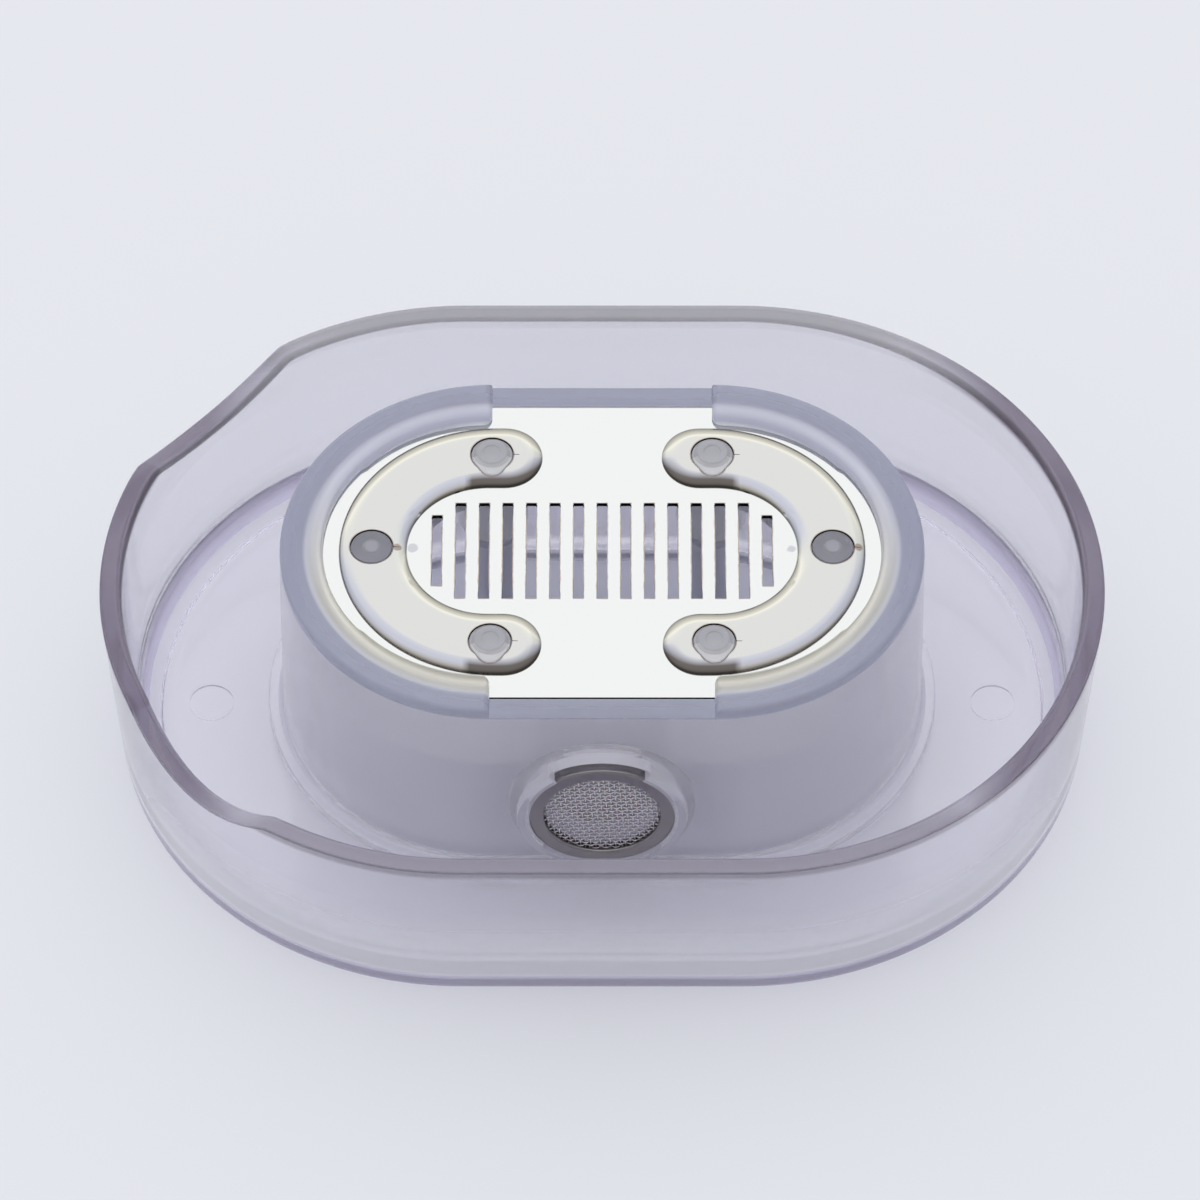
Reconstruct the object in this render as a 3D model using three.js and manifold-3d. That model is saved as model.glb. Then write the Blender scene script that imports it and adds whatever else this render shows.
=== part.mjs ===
// Razor rinser: a hand pump standing in a clear pouring basin.
// Pressing the steel plate drives water up through its slots, and the return stroke draws
// fresh water in through the filter on the front.
// Millimetres, +Z up, the filter facing -Y. The origin is on the table under the middle of the basin.

import * as THREE from 'three';
import { mergeVertices } from 'three/addons/utils/BufferGeometryUtils.js';
import Module from 'manifold-3d';

const wasm = await Module();
wasm.setup();

// Basin: a racetrack tray, its sizes taken outside the rim.
const basinLength = 129.5;
const basinWidth = 94.85;
const basinHeight = 26.8;
const basinDraft = 2.3;
const basinWall = 2.8;
const floorThickness = 3.0;
const floorFillet = 5.0;
const rimRound = 1.1;
const baseRound = 1.2;
const standingRingWidth = 3.2;
const standingRingDepth = 0.6;
const locatorWall = 0.9;
const locatorRise = 1.4;

// Pour dips: two scoops out of the rim, one to each side of the left end.
const dipDepth = 3.65;
const dipDegrees = 42.4;
const dipReachToEnd = 13.9;
const dipReachAway = 12.1;
const dipShoulder = 0.5;

// Round ejector marks on the underside, midway across the trough at each end.
const markRadius = 2.9;
const markDepth = 0.3;

// Pump housing: a racetrack pedestal, its sizes taken outside its top.
const housingLength = 82.7;
const housingWidth = 54.2;
const housingRise = 31.9;
const housingWall = 3.2;
const housingDraft = 0.5;
const housingTopRound = 0.8;
const footWidth = 1.85;
const footThickness = 1.4;
const footFillet = 0.8;
const footEdge = 0.4;

// Lips round both ends of the housing that keep the plate down.
const lipStep = 1.2;
const lipReach = 3.1;
const lipSlope = 1.05;
const lipEdge = 0.5;
const lipCorner = 1.3;
const lipEndRound = 1.2;

// Filter boss and inlet port on the front of the housing.
const portRise = 13.0;
const portRadius = 6.3;
const bossRise = 2.4;
const bossFootRadius = 12.2;
const bossFaceRadius = 10.7;
const recessDepth = 2.8;
const seatWeb = 1.4;
const retainerThickness = 0.7;
const retainerBite = 0.2;
const notchRadius = 11.0;
const notchDegrees = [56, 128];
const openFootDegrees = [217, 323];

// Filter: a crimped ring with wire cloth in its groove.
const filterRadius = 9.5;
const filterOpening = 7.45;
const filterThickness = 1.6;
const crimpFront = 0.4;
const crimpBack = 0.3;
const crimpDepth = 0.85;
const clothThickness = 0.3;
const clothGapsAcross = 14;
const clothWire = 0.4;

// Inlet flap: a soft disc hanging from a bar along its top.
const flapOverlap = 0.6;
const flapThickness = 0.8;
const flapBarRadius = 0.7;
const flapBarLength = 8.4;

// Rinse plate: sheet steel with slots and two raised C-shaped ribs.
const plateThickness = 0.6;
const slotCount = 15;
const slotPitch = 3.03;
const slotWidth = 1.31;
const slotFlare = 0.12;
const slotMargin = 2.225;
const endSlotShare = 0.75;
const ribMargin = 1.4;
const ribWidth = 9.4;
const ribShoulder = 1.75;
const ribRise = 1.3;
const ribReach = 1.9;

// Plunger: the carrier under the plate, with its posts, skirt and spring sleeves.
const deckThickness = 2.0;
const deckOpeningMargin = 1.25;
const skirtWall = 1.6;
const skirtDepth = 10.6;
const skirtGateWidth = 16.4;
const sleeveWall = 0.8;
const sleeveDepth = 8.4;
const postOffset = 0.35;
const postRadius = 2.6;
const postToeRadius = 1.3;
const postToeDrop = 2.05;
const headRadius = 2.0;
const headFlank = 0.4;
const headRise = 0.5;
const headDimple = 0.15;
const endPinRadius = 2.6;

// Return springs, one on a column of the basin floor under each corner post.
const pressTravel = 6.5;
const springRadius = 3.15;
const springWire = 0.7;
const springCurls = 5;
const springEndPitch = 1.2;
const springSpare = 0.4;
const columnCore = 1.6;

// Clearances.
const fitGap = 0.3;
const slideGap = 0.4;
const restGap = 0.1;

// Facets: steps round half a racetrack, round a post and round the filter.
const arcSteps = 28;
const basinArcSteps = 36;
const postSteps = 16;
const ringSteps = 36;

// Places worked out from the sizes above.
const basinHalfStraight = (basinLength - basinWidth) / 2;
const basinRimRadius = basinWidth / 2;
const basinBaseRadius = basinRimRadius - basinDraft;
const housingHalfStraight = (housingLength - housingWidth) / 2;
const housingRadius = housingWidth / 2;
const housingInner = housingRadius - housingWall;
const footZ = floorThickness + restGap;
const lipTopZ = floorThickness + housingRise;
const wallTopZ = lipTopZ - lipStep;
const lipUnderZ = lipTopZ - lipSlope - lipEdge;
const lipInner = housingInner - lipReach;
const ribRadius = lipInner - ribMargin - ribWidth / 2;
const slotLength = 2 * (ribRadius - ribWidth / 2 - slotMargin);
const plateTopZ = lipUnderZ - fitGap;
const plateUnderZ = plateTopZ - plateThickness;
const ribTopZ = plateTopZ + ribRise;
const deckTopZ = plateUnderZ - restGap;
const deckUnderZ = deckTopZ - deckThickness;
const springLength = pressTravel + springCurls * springWire + springSpare;
const springTopZ = deckUnderZ - fitGap;
const springSeatZ = springTopZ - springLength;
const columnTopZ = springSeatZ - fitGap;
const columnRadius = springRadius + springWire / 2;
const sleeveInner = columnRadius + fitGap;
const postY = ribRadius + postOffset;
const deckOpeningRadius = postY - sleeveInner - sleeveWall - deckOpeningMargin;
const endPinX = housingHalfStraight + postY;
const portZ = floorThickness + portRise;
const cornerSigns = [[-1, -1], [1, -1], [-1, 1], [1, 1]];

// Depths from the front of the housing towards its middle, measured along -Y.
const bossFaceDepth = outerHousingRadius(portZ) + bossRise;
const recessFloorDepth = bossFaceDepth - recessDepth;
const retainerDepth = bossFaceDepth - retainerThickness;
const flapSeatDepth = recessFloorDepth - seatWeb;
const flapRadius = portRadius + flapOverlap;
const flapFrontDepth = flapSeatDepth - fitGap;

// Outside radius of the basin wall at a height.
function outerBasinRadius(z) {
  return basinBaseRadius + basinDraft * z / basinHeight;
}

// Outside radius of the housing wall at a height.
function outerHousingRadius(z) {
  return housingRadius + housingDraft * (lipTopZ - z) / housingRise;
}

// Height of the rim at an angle round the outline: lower in the two pour dips.
function rimHeight(angle) {
  const fromLeftEnd = Math.abs(Math.PI - angle);
  const along = basinRimRadius * (fromLeftEnd - THREE.MathUtils.degToRad(dipDegrees));
  const reach = along > 0 ? dipReachAway : dipReachToEnd;
  const scoop = dipDepth * (1 - (along / reach) ** 2);
  if (scoop < -4 * dipShoulder) {
    return basinHeight;
  }
  return basinHeight - (scoop + Math.hypot(scoop, dipShoulder)) / 2;
}

// One racetrack outline. Its height may change with the angle, and its radius with the height.
function racetrack(halfStraight, radius, height, steps = arcSteps) {
  const points = [];
  for (const end of [0, 1]) {
    const centre = end === 0 ? halfStraight : -halfStraight;
    for (let i = 0; i <= steps; i++) {
      const angle = Math.PI * (i / steps + end - 0.5);
      const z = typeof height === 'function' ? height(angle) : height;
      const r = typeof radius === 'function' ? radius(z) : radius;
      points.push(new THREE.Vector3(centre + r * Math.cos(angle), r * Math.sin(angle), z));
    }
  }
  return points;
}

// A closed body through a row of outlines that all have the same number of points.
function loft(rings) {
  const count = rings[0].length;
  const last = (rings.length - 1) * count;
  const index = [];
  for (let r = 0; r + 1 < rings.length; r++) {
    for (let i = 0; i < count; i++) {
      const a = r * count + i;
      const b = r * count + (i + 1) % count;
      index.push(a, b, b + count, a, b + count, a + count);
    }
  }
  const flat = (ring) => ring.map((p) => new THREE.Vector2(p.x, p.y));
  for (const [a, b, c] of THREE.ShapeUtils.triangulateShape(flat(rings[0]), [])) {
    index.push(a, c, b);
  }
  for (const [a, b, c] of THREE.ShapeUtils.triangulateShape(flat(rings.at(-1)), [])) {
    index.push(last + a, last + b, last + c);
  }
  const geometry = new THREE.BufferGeometry();
  geometry.setAttribute('position', new THREE.Float32BufferAttribute(
    rings.flat().flatMap((p) => [p.x, p.y, p.z]), 3));
  geometry.setIndex(index);
  return geometry;
}

// A solid from a closed geometry, whichever way round its faces were drawn.
function solidOf(geometry) {
  geometry.deleteAttribute('normal');
  geometry.deleteAttribute('uv');
  const merged = mergeVertices(geometry, 1e-4);
  const points = merged.getAttribute('position');
  const index = merged.getIndex().array;
  const corner = (i) => new THREE.Vector3().fromBufferAttribute(points, i);
  const triangles = [];
  let volume = 0;
  for (let i = 0; i < index.length; i += 3) {
    const [a, b, c] = index.slice(i, i + 3);
    if (a !== b && b !== c && c !== a) {
      triangles.push([a, b, c]);
      volume += corner(a).dot(corner(b).cross(corner(c)));
    }
  }
  const outward = volume > 0 ? triangles : triangles.map(([a, b, c]) => [a, c, b]);
  return new wasm.Manifold(new wasm.Mesh({
    numProp: 3,
    vertProperties: new Float32Array(points.array),
    triVerts: new Uint32Array(outward.flat()),
  }));
}

function joined(solids) {
  return solids.reduce((whole, solid) => whole.add(solid));
}

function loftedTrack(halfStraight, levels, steps) {
  return solidOf(loft(levels.map(([radius, z]) => racetrack(halfStraight, radius, z, steps))));
}

// A body turned about a vertical axis from a profile of [radius, height] pairs.
function turned(profile, x, y, steps = postSteps) {
  const points = profile.map(([radius, z]) => new THREE.Vector2(radius, z));
  return solidOf(new THREE.LatheGeometry(points, steps).rotateX(Math.PI / 2).translate(x, y, 0));
}

function post(radius, low, high, x, y) {
  return turned([[0, low], [radius, low], [radius, high], [0, high]], x, y);
}

// A flat shape in X and Y given a thickness between two heights.
function slab(shape, low, high, curveSegments = 8) {
  const settings = { depth: high - low, bevelEnabled: false, curveSegments };
  return solidOf(new THREE.ExtrudeGeometry(shape, settings).translate(0, 0, low));
}

// The same for a shape drawn on the front, in X and Z about the port, between two depths.
function frontSlab(shape, near, far, curveSegments = 10) {
  const settings = { depth: far - near, bevelEnabled: false, curveSegments };
  const geometry = new THREE.ExtrudeGeometry(shape, settings).translate(0, 0, near);
  return solidOf(geometry.rotateX(Math.PI / 2).translate(0, 0, portZ));
}

function disc(radius) {
  return new THREE.Shape().absarc(0, 0, radius, 0, 2 * Math.PI, false);
}

function sector(radius, fromDegrees, toDegrees) {
  const from = THREE.MathUtils.degToRad(fromDegrees);
  const to = THREE.MathUtils.degToRad(toDegrees);
  return new THREE.Shape().moveTo(0, 0).absarc(0, 0, radius, from, to, false).lineTo(0, 0);
}

function rectangle(width, low, high) {
  const half = width / 2;
  return new THREE.Shape([
    new THREE.Vector2(-half, low), new THREE.Vector2(half, low),
    new THREE.Vector2(half, high), new THREE.Vector2(-half, high),
  ]);
}

// Quarter round from 0 to 90 degrees in equal steps, as pairs of how far in and how far along.
function quarterRound(radius, steps) {
  const pairs = [];
  for (let i = 0; i <= steps; i++) {
    const turn = i / steps * Math.PI / 2;
    pairs.push([radius * (1 - Math.cos(turn)), radius * Math.sin(turn)]);
  }
  return pairs;
}

// The basin is one unbroken skin: out over the standing ring, up the outside, over the rim,
// down the inside, round the fillet and across the floor.
function makeBasin() {
  const ring = (radius, height) => racetrack(basinHalfStraight, radius, height, basinArcSteps);
  const footOuter = basinBaseRadius - baseRound;
  const footInner = footOuter - standingRingWidth;
  const rings = [
    ring(footInner - standingRingDepth, standingRingDepth),
    ring(footInner, 0),
  ];
  for (const [inward, along] of quarterRound(baseRound, 2).reverse()) {
    rings.push(ring((z) => outerBasinRadius(z) - inward, baseRound - along));
  }
  const rimSteps = quarterRound(rimRound, 2);
  for (const [inward, along] of rimSteps) {
    rings.push(ring((z) => outerBasinRadius(z) - inward,
      (angle) => rimHeight(angle) - rimRound + along));
  }
  for (const [inward, along] of rimSteps.reverse()) {
    rings.push(ring((z) => outerBasinRadius(z) - basinWall + inward,
      (angle) => rimHeight(angle) - rimRound + along));
  }
  for (const [inward, along] of quarterRound(floorFillet, 3)) {
    rings.push(ring((z) => outerBasinRadius(z) - basinWall - inward,
      floorThickness + floorFillet - along));
  }
  let basin = solidOf(loft(rings));

  // A low rib inside the housing wall places it on the floor.
  const locatorOuter = housingInner - fitGap;
  const locatorInner = locatorOuter - locatorWall;
  const locator = loftedTrack(housingHalfStraight,
    [[locatorOuter, floorThickness - locatorWall], [locatorOuter, floorThickness + locatorRise]]);
  const locatorHollow = loftedTrack(housingHalfStraight,
    [[locatorInner, floorThickness], [locatorInner, floorThickness + 2 * locatorRise]]);
  basin = basin.add(locator.subtract(locatorHollow));

  // Spring columns, cored from below as moulded posts are.
  for (const [sideX, sideY] of cornerSigns) {
    const x = sideX * housingHalfStraight;
    const y = sideY * postY;
    basin = basin.add(post(columnRadius, floorThickness - 1, columnTopZ, x, y));
    basin = basin.subtract(post(columnCore, -1, columnTopZ - basinWall, x, y));
  }
  const troughInner = housingHalfStraight + outerHousingRadius(footZ) + footWidth;
  const troughOuter = basinHalfStraight + outerBasinRadius(floorThickness) - basinWall;
  for (const side of [-1, 1]) {
    const x = side * (troughInner + troughOuter) / 2;
    basin = basin.subtract(post(markRadius, -1, standingRingDepth + markDepth, x, 0));
  }
  return basin;
}

function makeHousing() {
  const footTopZ = footZ + footThickness;
  const footRadius = outerHousingRadius(footZ) + footWidth;
  const topRound = quarterRound(housingTopRound, 2);
  const shell = loftedTrack(housingHalfStraight, [
    [footRadius, footZ],
    [footRadius, footTopZ - footEdge],
    [footRadius - footEdge, footTopZ],
    [outerHousingRadius(footTopZ) + footFillet, footTopZ],
    [outerHousingRadius(footTopZ + footFillet), footTopZ + footFillet],
    ...topRound.map(([inward, along]) => [housingRadius - inward, lipTopZ - housingTopRound + along]),
  ]);

  // The boss cone starts inside the wall so that it grows out of the curved front.
  const bossDepth = bossFaceDepth - housingInner - restGap;
  const boss = solidOf(new THREE.CylinderGeometry(bossFootRadius, bossFaceRadius, bossDepth, 48)
    .translate(0, bossDepth / 2 - bossFaceDepth, portZ));

  // Hollow, with the lips hanging over it at full outline; the middle is opened next.
  const hollow = loftedTrack(housingHalfStraight, [
    [housingInner, footZ - 1],
    [housingInner, lipUnderZ],
    [lipInner, lipUnderZ],
    [lipInner, lipUnderZ + lipEdge],
    [housingInner, lipTopZ],
    [housingInner, lipTopZ + 1],
  ]);

  // The lips stop where the straight sides begin, their inner corners rounded in plan and their
  // ends rounded over.
  const outside = housingRadius + footWidth + 1;
  const cornerMiddle = lipCorner * (1 - Math.SQRT1_2);
  const corner = [
    [housingHalfStraight + lipCorner, lipInner],
    [housingHalfStraight + cornerMiddle, lipInner + cornerMiddle],
    [housingHalfStraight, lipInner + lipCorner],
    [housingHalfStraight, outside],
  ];
  const gate = (z, spread) => {
    const mirrored = (signX, signY) => corner.map(([x, y]) =>
      new THREE.Vector3(signX * (x + spread), signY * y, z));
    return [...mirrored(1, 1), ...mirrored(-1, 1).reverse(),
      ...mirrored(-1, -1), ...mirrored(1, -1).reverse()];
  };
  const endRound = quarterRound(lipEndRound, 3).map(([spread, along]) => gate(wallTopZ + along, spread));
  const aboveWall = solidOf(loft([...endRound, gate(lipTopZ + 1, lipEndRound)]));
  const column = loftedTrack(housingHalfStraight, [[housingInner, plateTopZ], [housingInner, lipTopZ + 1]]);
  const overPlate = solidOf(loft([gate(plateTopZ, 0), gate(wallTopZ, 0)])).intersect(column);

  // Filter seat: a recess with a retaining bead at each side, open at the foot, and a finger
  // notch at the top for lifting the filter out.
  const seatRadius = filterRadius + fitGap;
  const beyond = bossFaceDepth + 1;
  const cuts = [
    frontSlab(disc(seatRadius), recessFloorDepth, retainerDepth),
    frontSlab(disc(filterRadius - retainerBite), recessFloorDepth, beyond),
    frontSlab(sector(seatRadius, ...openFootDegrees), recessFloorDepth, beyond),
    frontSlab(sector(notchRadius, ...notchDegrees), recessFloorDepth, beyond),
    frontSlab(disc(portRadius), housingInner - 1, beyond),
    frontSlab(disc(flapRadius + slideGap), housingInner - 1, flapSeatDepth),
    frontSlab(rectangle(flapBarLength + 2 * fitGap, 0, flapRadius + flapBarRadius + fitGap),
      housingInner - 1, flapSeatDepth + fitGap),
  ];
  return shell.add(boss).subtract(hollow).subtract(aboveWall).subtract(overPlate).subtract(joined(cuts));
}

// Outline of a C-shaped rib, counter-clockwise: outer arc, round end, inner arc, round end.
function ribOutline(halfWidth, z, side) {
  const arc = (centreX, centreY, radius, from, to, steps) => {
    const points = [];
    for (let i = 0; i <= steps; i++) {
      const angle = THREE.MathUtils.degToRad(from + (to - from) * i / steps);
      const x = centreX + radius * Math.cos(angle);
      points.push(new THREE.Vector3(side * x, centreY + radius * Math.sin(angle), z));
    }
    return points;
  };
  const endX = housingHalfStraight - ribReach;
  const points = [
    ...arc(housingHalfStraight, 0, ribRadius + halfWidth, -90, 90, 16),
    ...arc(endX, ribRadius, halfWidth, 90, 270, 6),
    ...arc(housingHalfStraight, 0, ribRadius - halfWidth, 90, -90, 12),
    ...arc(endX, -ribRadius, halfWidth, 90, 270, 6),
  ];
  return side < 0 ? points.reverse() : points;
}

// A rib swells from the sheet in an S to a flat crown: each level lies a share of the shoulder in
// from the edge, at a share of the rise.
function rib(side, inset, drop) {
  const swell = [[0, 0], [0.15, 0.14], [0.4, 0.5], [0.68, 0.86], [1, 1]];
  const foot = [ribWidth / 2 - inset, plateUnderZ - (inset > 0 ? 1 : -plateThickness / 2)];
  const levels = swell.map(([share, rise]) =>
    [ribWidth / 2 - ribShoulder * share - inset, plateTopZ + ribRise * rise - drop]);
  return solidOf(loft([foot, ...levels].map(([half, z]) => ribOutline(half, z, side))));
}

// A punched slot, a little wider at its ends, with its corners broken.
function slotPath(x, length) {
  const half = slotWidth / 2;
  const wide = half + slotFlare;
  const end = length / 2;
  const quarter = [[half, 0], [half, end * 0.6], [wide, end - slotFlare * 2], [half, end]];
  const points = [
    ...quarter,
    ...quarter.slice(1).reverse().map(([px, py]) => [-px, py]),
    ...quarter.map(([px, py]) => [-px, -py]),
    ...quarter.slice(1).reverse().map(([px, py]) => [px, -py]),
  ];
  return new THREE.Path(points.map(([px, py]) => new THREE.Vector2(x + px, py)));
}

// Section of a corner post, or with a clearance of its hole: round to the rear and drawn in to a
// smaller round toe at the front.
function postShape(clearance) {
  const round = postRadius + clearance;
  const toe = postToeRadius + clearance;
  const lean = Math.asin((round - toe) / postToeDrop);
  return new THREE.Shape()
    .absarc(0, 0, round, -lean, Math.PI + lean, false)
    .absarc(0, -postToeDrop, toe, Math.PI + lean, 2 * Math.PI - lean, false);
}

function cornerPost(clearance, low, high, x, y) {
  return slab(postShape(clearance), low, high, 10).translate(x, y, 0);
}

function makePlate() {
  const outline = racetrack(housingHalfStraight, housingInner - fitGap, 0);
  const sheet = new THREE.Shape(outline.map((p) => new THREE.Vector2(p.x, p.y)));
  for (let i = 0; i < slotCount; i++) {
    const x = (i - (slotCount - 1) / 2) * slotPitch;
    const length = slotLength * (i === 0 || i === slotCount - 1 ? endSlotShare : 1);
    sheet.holes.push(slotPath(x, length));
  }
  let plate = slab(sheet, plateUnderZ, plateTopZ);
  for (const side of [-1, 1]) {
    plate = plate.add(rib(side, 0, 0));
  }
  for (const side of [-1, 1]) {
    plate = plate.subtract(rib(side, plateThickness, plateThickness));
    plate = plate.subtract(post(endPinRadius + fitGap, plateUnderZ - 1, ribTopZ + 1, side * endPinX, 0));
  }
  for (const [sideX, sideY] of cornerSigns) {
    plate = plate.subtract(cornerPost(fitGap, plateUnderZ - 1, ribTopZ + 1,
      sideX * housingHalfStraight, sideY * postY));
  }
  return plate;
}

function makePlunger() {
  const outer = housingInner - slideGap;
  const skirtEndZ = deckTopZ - skirtDepth;
  const body = loftedTrack(housingHalfStraight, [[outer, skirtEndZ], [outer, deckTopZ]]);
  const inside = loftedTrack(housingHalfStraight,
    [[outer - skirtWall, skirtEndZ - 1], [outer - skirtWall, deckUnderZ]]);
  const opening = loftedTrack(housingHalfStraight,
    [[deckOpeningRadius, deckUnderZ - 1], [deckOpeningRadius, deckTopZ + 1]]);
  const gate = frontSlab(rectangle(skirtGateWidth, skirtEndZ - 1 - portZ, deckUnderZ - portZ),
    outer - skirtWall - 1, outer + 1);
  let plunger = body.subtract(inside).subtract(opening).subtract(gate);

  // Each corner post fills its hole and ends in a button, spread while it was warm.
  const headTopZ = ribTopZ + headRise;
  for (const [sideX, sideY] of cornerSigns) {
    const x = sideX * housingHalfStraight;
    const y = sideY * postY;
    const sleeve = post(sleeveInner + sleeveWall, deckUnderZ - sleeveDepth, deckUnderZ + 1, x, y);
    plunger = plunger.add(sleeve);
    plunger = plunger.subtract(post(sleeveInner, deckUnderZ - sleeveDepth - 1, deckUnderZ, x, y));
    plunger = plunger.add(cornerPost(0, deckTopZ - 1, ribTopZ, x, y));
    plunger = plunger.add(turned([
      [0, ribTopZ - 1], [headRadius + headFlank, ribTopZ - 1], [headRadius + headFlank, ribTopZ],
      [headRadius, headTopZ - headDimple], [headRadius - headDimple, headTopZ],
      [headRadius * 0.6, headTopZ], [headRadius * 0.45, headTopZ - headDimple],
      [0, headTopZ - headDimple],
    ], x, y));
  }
  for (const side of [-1, 1]) {
    plunger = plunger.add(post(endPinRadius, deckTopZ - 1, ribTopZ, side * endPinX, 0));
  }
  return plunger;
}

// Height of the spring wire's middle, in curls from the seat: close turns at both ends.
function springHeight(curl) {
  const closeBelow = 1.5;
  const closeAbove = 1;
  const span = springLength - springWire;
  const openCurls = springCurls - closeBelow - closeAbove;
  const openPitch = (span - springEndPitch * (closeBelow + closeAbove)) / openCurls;
  const below = Math.min(curl, closeBelow);
  const open = Math.min(Math.max(curl - closeBelow, 0), openCurls);
  const above = Math.max(curl - closeBelow - openCurls, 0);
  return springEndPitch * (below + above) + openPitch * open;
}

// One unbroken round wire: eight steps to a curl, five sides, flat ends.
function makeSpring(x, y) {
  const stepsPerCurl = 8;
  const sides = 5;
  const steps = springCurls * stepsPerCurl;
  const rings = [];
  for (let i = 0; i <= steps; i++) {
    const turn = 2 * Math.PI * i / stepsPerCurl;
    const z = springSeatZ + springWire / 2 + springHeight(i / stepsPerCurl);
    const ring = [];
    for (let k = 0; k < sides; k++) {
      const around = 2 * Math.PI * k / sides;
      const reach = springRadius + springWire / 2 * Math.cos(around);
      ring.push(new THREE.Vector3(
        x + reach * Math.cos(turn), y + reach * Math.sin(turn), z + springWire / 2 * Math.sin(around)));
    }
    rings.push(ring);
  }
  const position = rings.flat().flatMap((p) => [p.x, p.y, p.z]);
  const index = [];
  for (let i = 0; i < steps; i++) {
    for (let k = 0; k < sides; k++) {
      const a = i * sides + k;
      const b = i * sides + (k + 1) % sides;
      index.push(a, b, b + sides, a, b + sides, a + sides);
    }
  }
  const last = steps * sides;
  for (let k = 1; k + 1 < sides; k++) {
    index.push(0, k + 1, k);
    index.push(last, last + k, last + k + 1);
  }
  const geometry = new THREE.BufferGeometry();
  geometry.setAttribute('position', new THREE.Float32BufferAttribute(position, 3));
  geometry.setIndex(index);
  return solidOf(geometry);
}

// Least clear distance between turns of the spring wire, measured on points along it.
function leastSpringGap() {
  const points = [];
  const pointsPerCurl = 48;
  const steps = springCurls * pointsPerCurl;
  for (let i = 0; i <= steps; i++) {
    const curl = i / pointsPerCurl;
    const turn = 2 * Math.PI * curl;
    points.push(new THREE.Vector3(
      springRadius * Math.cos(turn), springRadius * Math.sin(turn), springHeight(curl)));
  }
  let least = Infinity;
  for (let i = 0; i <= steps; i++) {
    for (let j = i + pointsPerCurl / 2; j <= steps; j++) {
      least = Math.min(least, points[i].distanceTo(points[j]));
    }
  }
  return least - springWire;
}

// The ring is one strip folded over the edge of the cloth.
function makeFilterRing() {
  const back = recessFloorDepth + fitGap;
  const front = back + filterThickness;
  const grooveRadius = filterOpening + crimpDepth;
  const bevel = crimpFront / 2;
  const profile = [
    [filterOpening, front - bevel], [filterOpening + bevel, front], [filterRadius - bevel, front],
    [filterRadius, front - bevel], [filterRadius, back], [filterOpening, back],
    [filterOpening, back + crimpBack], [grooveRadius, back + crimpBack],
    [grooveRadius, front - crimpFront], [filterOpening, front - crimpFront],
    [filterOpening, front - bevel],
  ].map(([radius, depth]) => new THREE.Vector2(radius, -depth));
  return solidOf(new THREE.LatheGeometry(profile, ringSteps).translate(0, 0, portZ));
}

// Wires one way lie half a thickness in front of the wires the other way, inside a pressed rim.
function makeCloth() {
  const back = recessFloorDepth + fitGap;
  const middle = (back + crimpBack + back + filterThickness - crimpFront) / 2;
  const near = middle - clothThickness / 2;
  const far = middle + clothThickness / 2;
  const step = clothThickness / 3;
  const pitch = 2 * filterOpening / clothGapsAcross;
  const wires = [];
  for (let i = 1; i < clothGapsAcross; i++) {
    const place = i * pitch - filterOpening;
    const half = Math.sqrt(filterOpening ** 2 - place ** 2) + crimpDepth / 2;
    const across = new THREE.BoxGeometry(2 * half, far - near - step, clothWire);
    const upright = new THREE.BoxGeometry(clothWire, far - near - step, 2 * half);
    wires.push(solidOf(across.translate(0, -middle - step / 2, portZ + place)));
    wires.push(solidOf(upright.translate(place, -middle + step / 2, portZ)));
  }
  const rim = frontSlab(disc(filterOpening + crimpDepth - fitGap), near, far)
    .subtract(frontSlab(disc(filterOpening - clothWire / 2), near - 1, far + 1));
  return joined(wires).add(rim);
}

function makeFlap() {
  const blade = frontSlab(disc(flapRadius), flapFrontDepth - flapThickness, flapFrontDepth);
  const bar = solidOf(new THREE.CylinderGeometry(flapBarRadius, flapBarRadius, flapBarLength, 12)
    .rotateZ(Math.PI / 2)
    .translate(0, flapThickness / 2 - flapFrontDepth, portZ + flapRadius));
  return blade.add(bar);
}

// Finishes.
const clearPlastic = { color: 0xc9c6da, roughness: 0.12, metalness: 0, transparent: true, opacity: 0.45 };
const milkyPlastic = { color: 0xd6d8e4, roughness: 0.3, metalness: 0, transparent: true, opacity: 0.7 };
const polishedSteel = { color: 0xdcdad2, roughness: 0.12, metalness: 1 };
const springSteel = { color: 0x8f9096, roughness: 0.3, metalness: 1 };
const silicone = { color: 0xe6e6ea, roughness: 0.5, metalness: 0 };

const rinser = new THREE.Group();

function addPiece(name, solid, finish) {
  const { vertProperties, triVerts } = solid.getMesh();
  const geometry = new THREE.BufferGeometry();
  geometry.setAttribute('position', new THREE.BufferAttribute(vertProperties, 3));
  geometry.setIndex(new THREE.BufferAttribute(triVerts, 1));
  geometry.computeVertexNormals();
  const mesh = new THREE.Mesh(geometry, new THREE.MeshStandardMaterial(finish));
  mesh.name = name;
  rinser.add(mesh);
}

addPiece('basin', makeBasin(), clearPlastic);
addPiece('pump_housing', makeHousing(), clearPlastic);
addPiece('rinse_plate', makePlate(), polishedSteel);
addPiece('plunger', makePlunger(), milkyPlastic);
for (const [sideX, sideY] of cornerSigns) {
  const name = `return_spring_${sideY < 0 ? 'front' : 'rear'}_${sideX < 0 ? 'left' : 'right'}`;
  addPiece(name, makeSpring(sideX * housingHalfStraight, sideY * postY), springSteel);
}
addPiece('filter_ring', makeFilterRing(), polishedSteel);
addPiece('filter_mesh', makeCloth(), springSteel);
addPiece('inlet_flap', makeFlap(), silicone);

console.log(`least gap between spring turns: ${leastSpringGap().toFixed(2)} mm`);

export default rinser;
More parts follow.
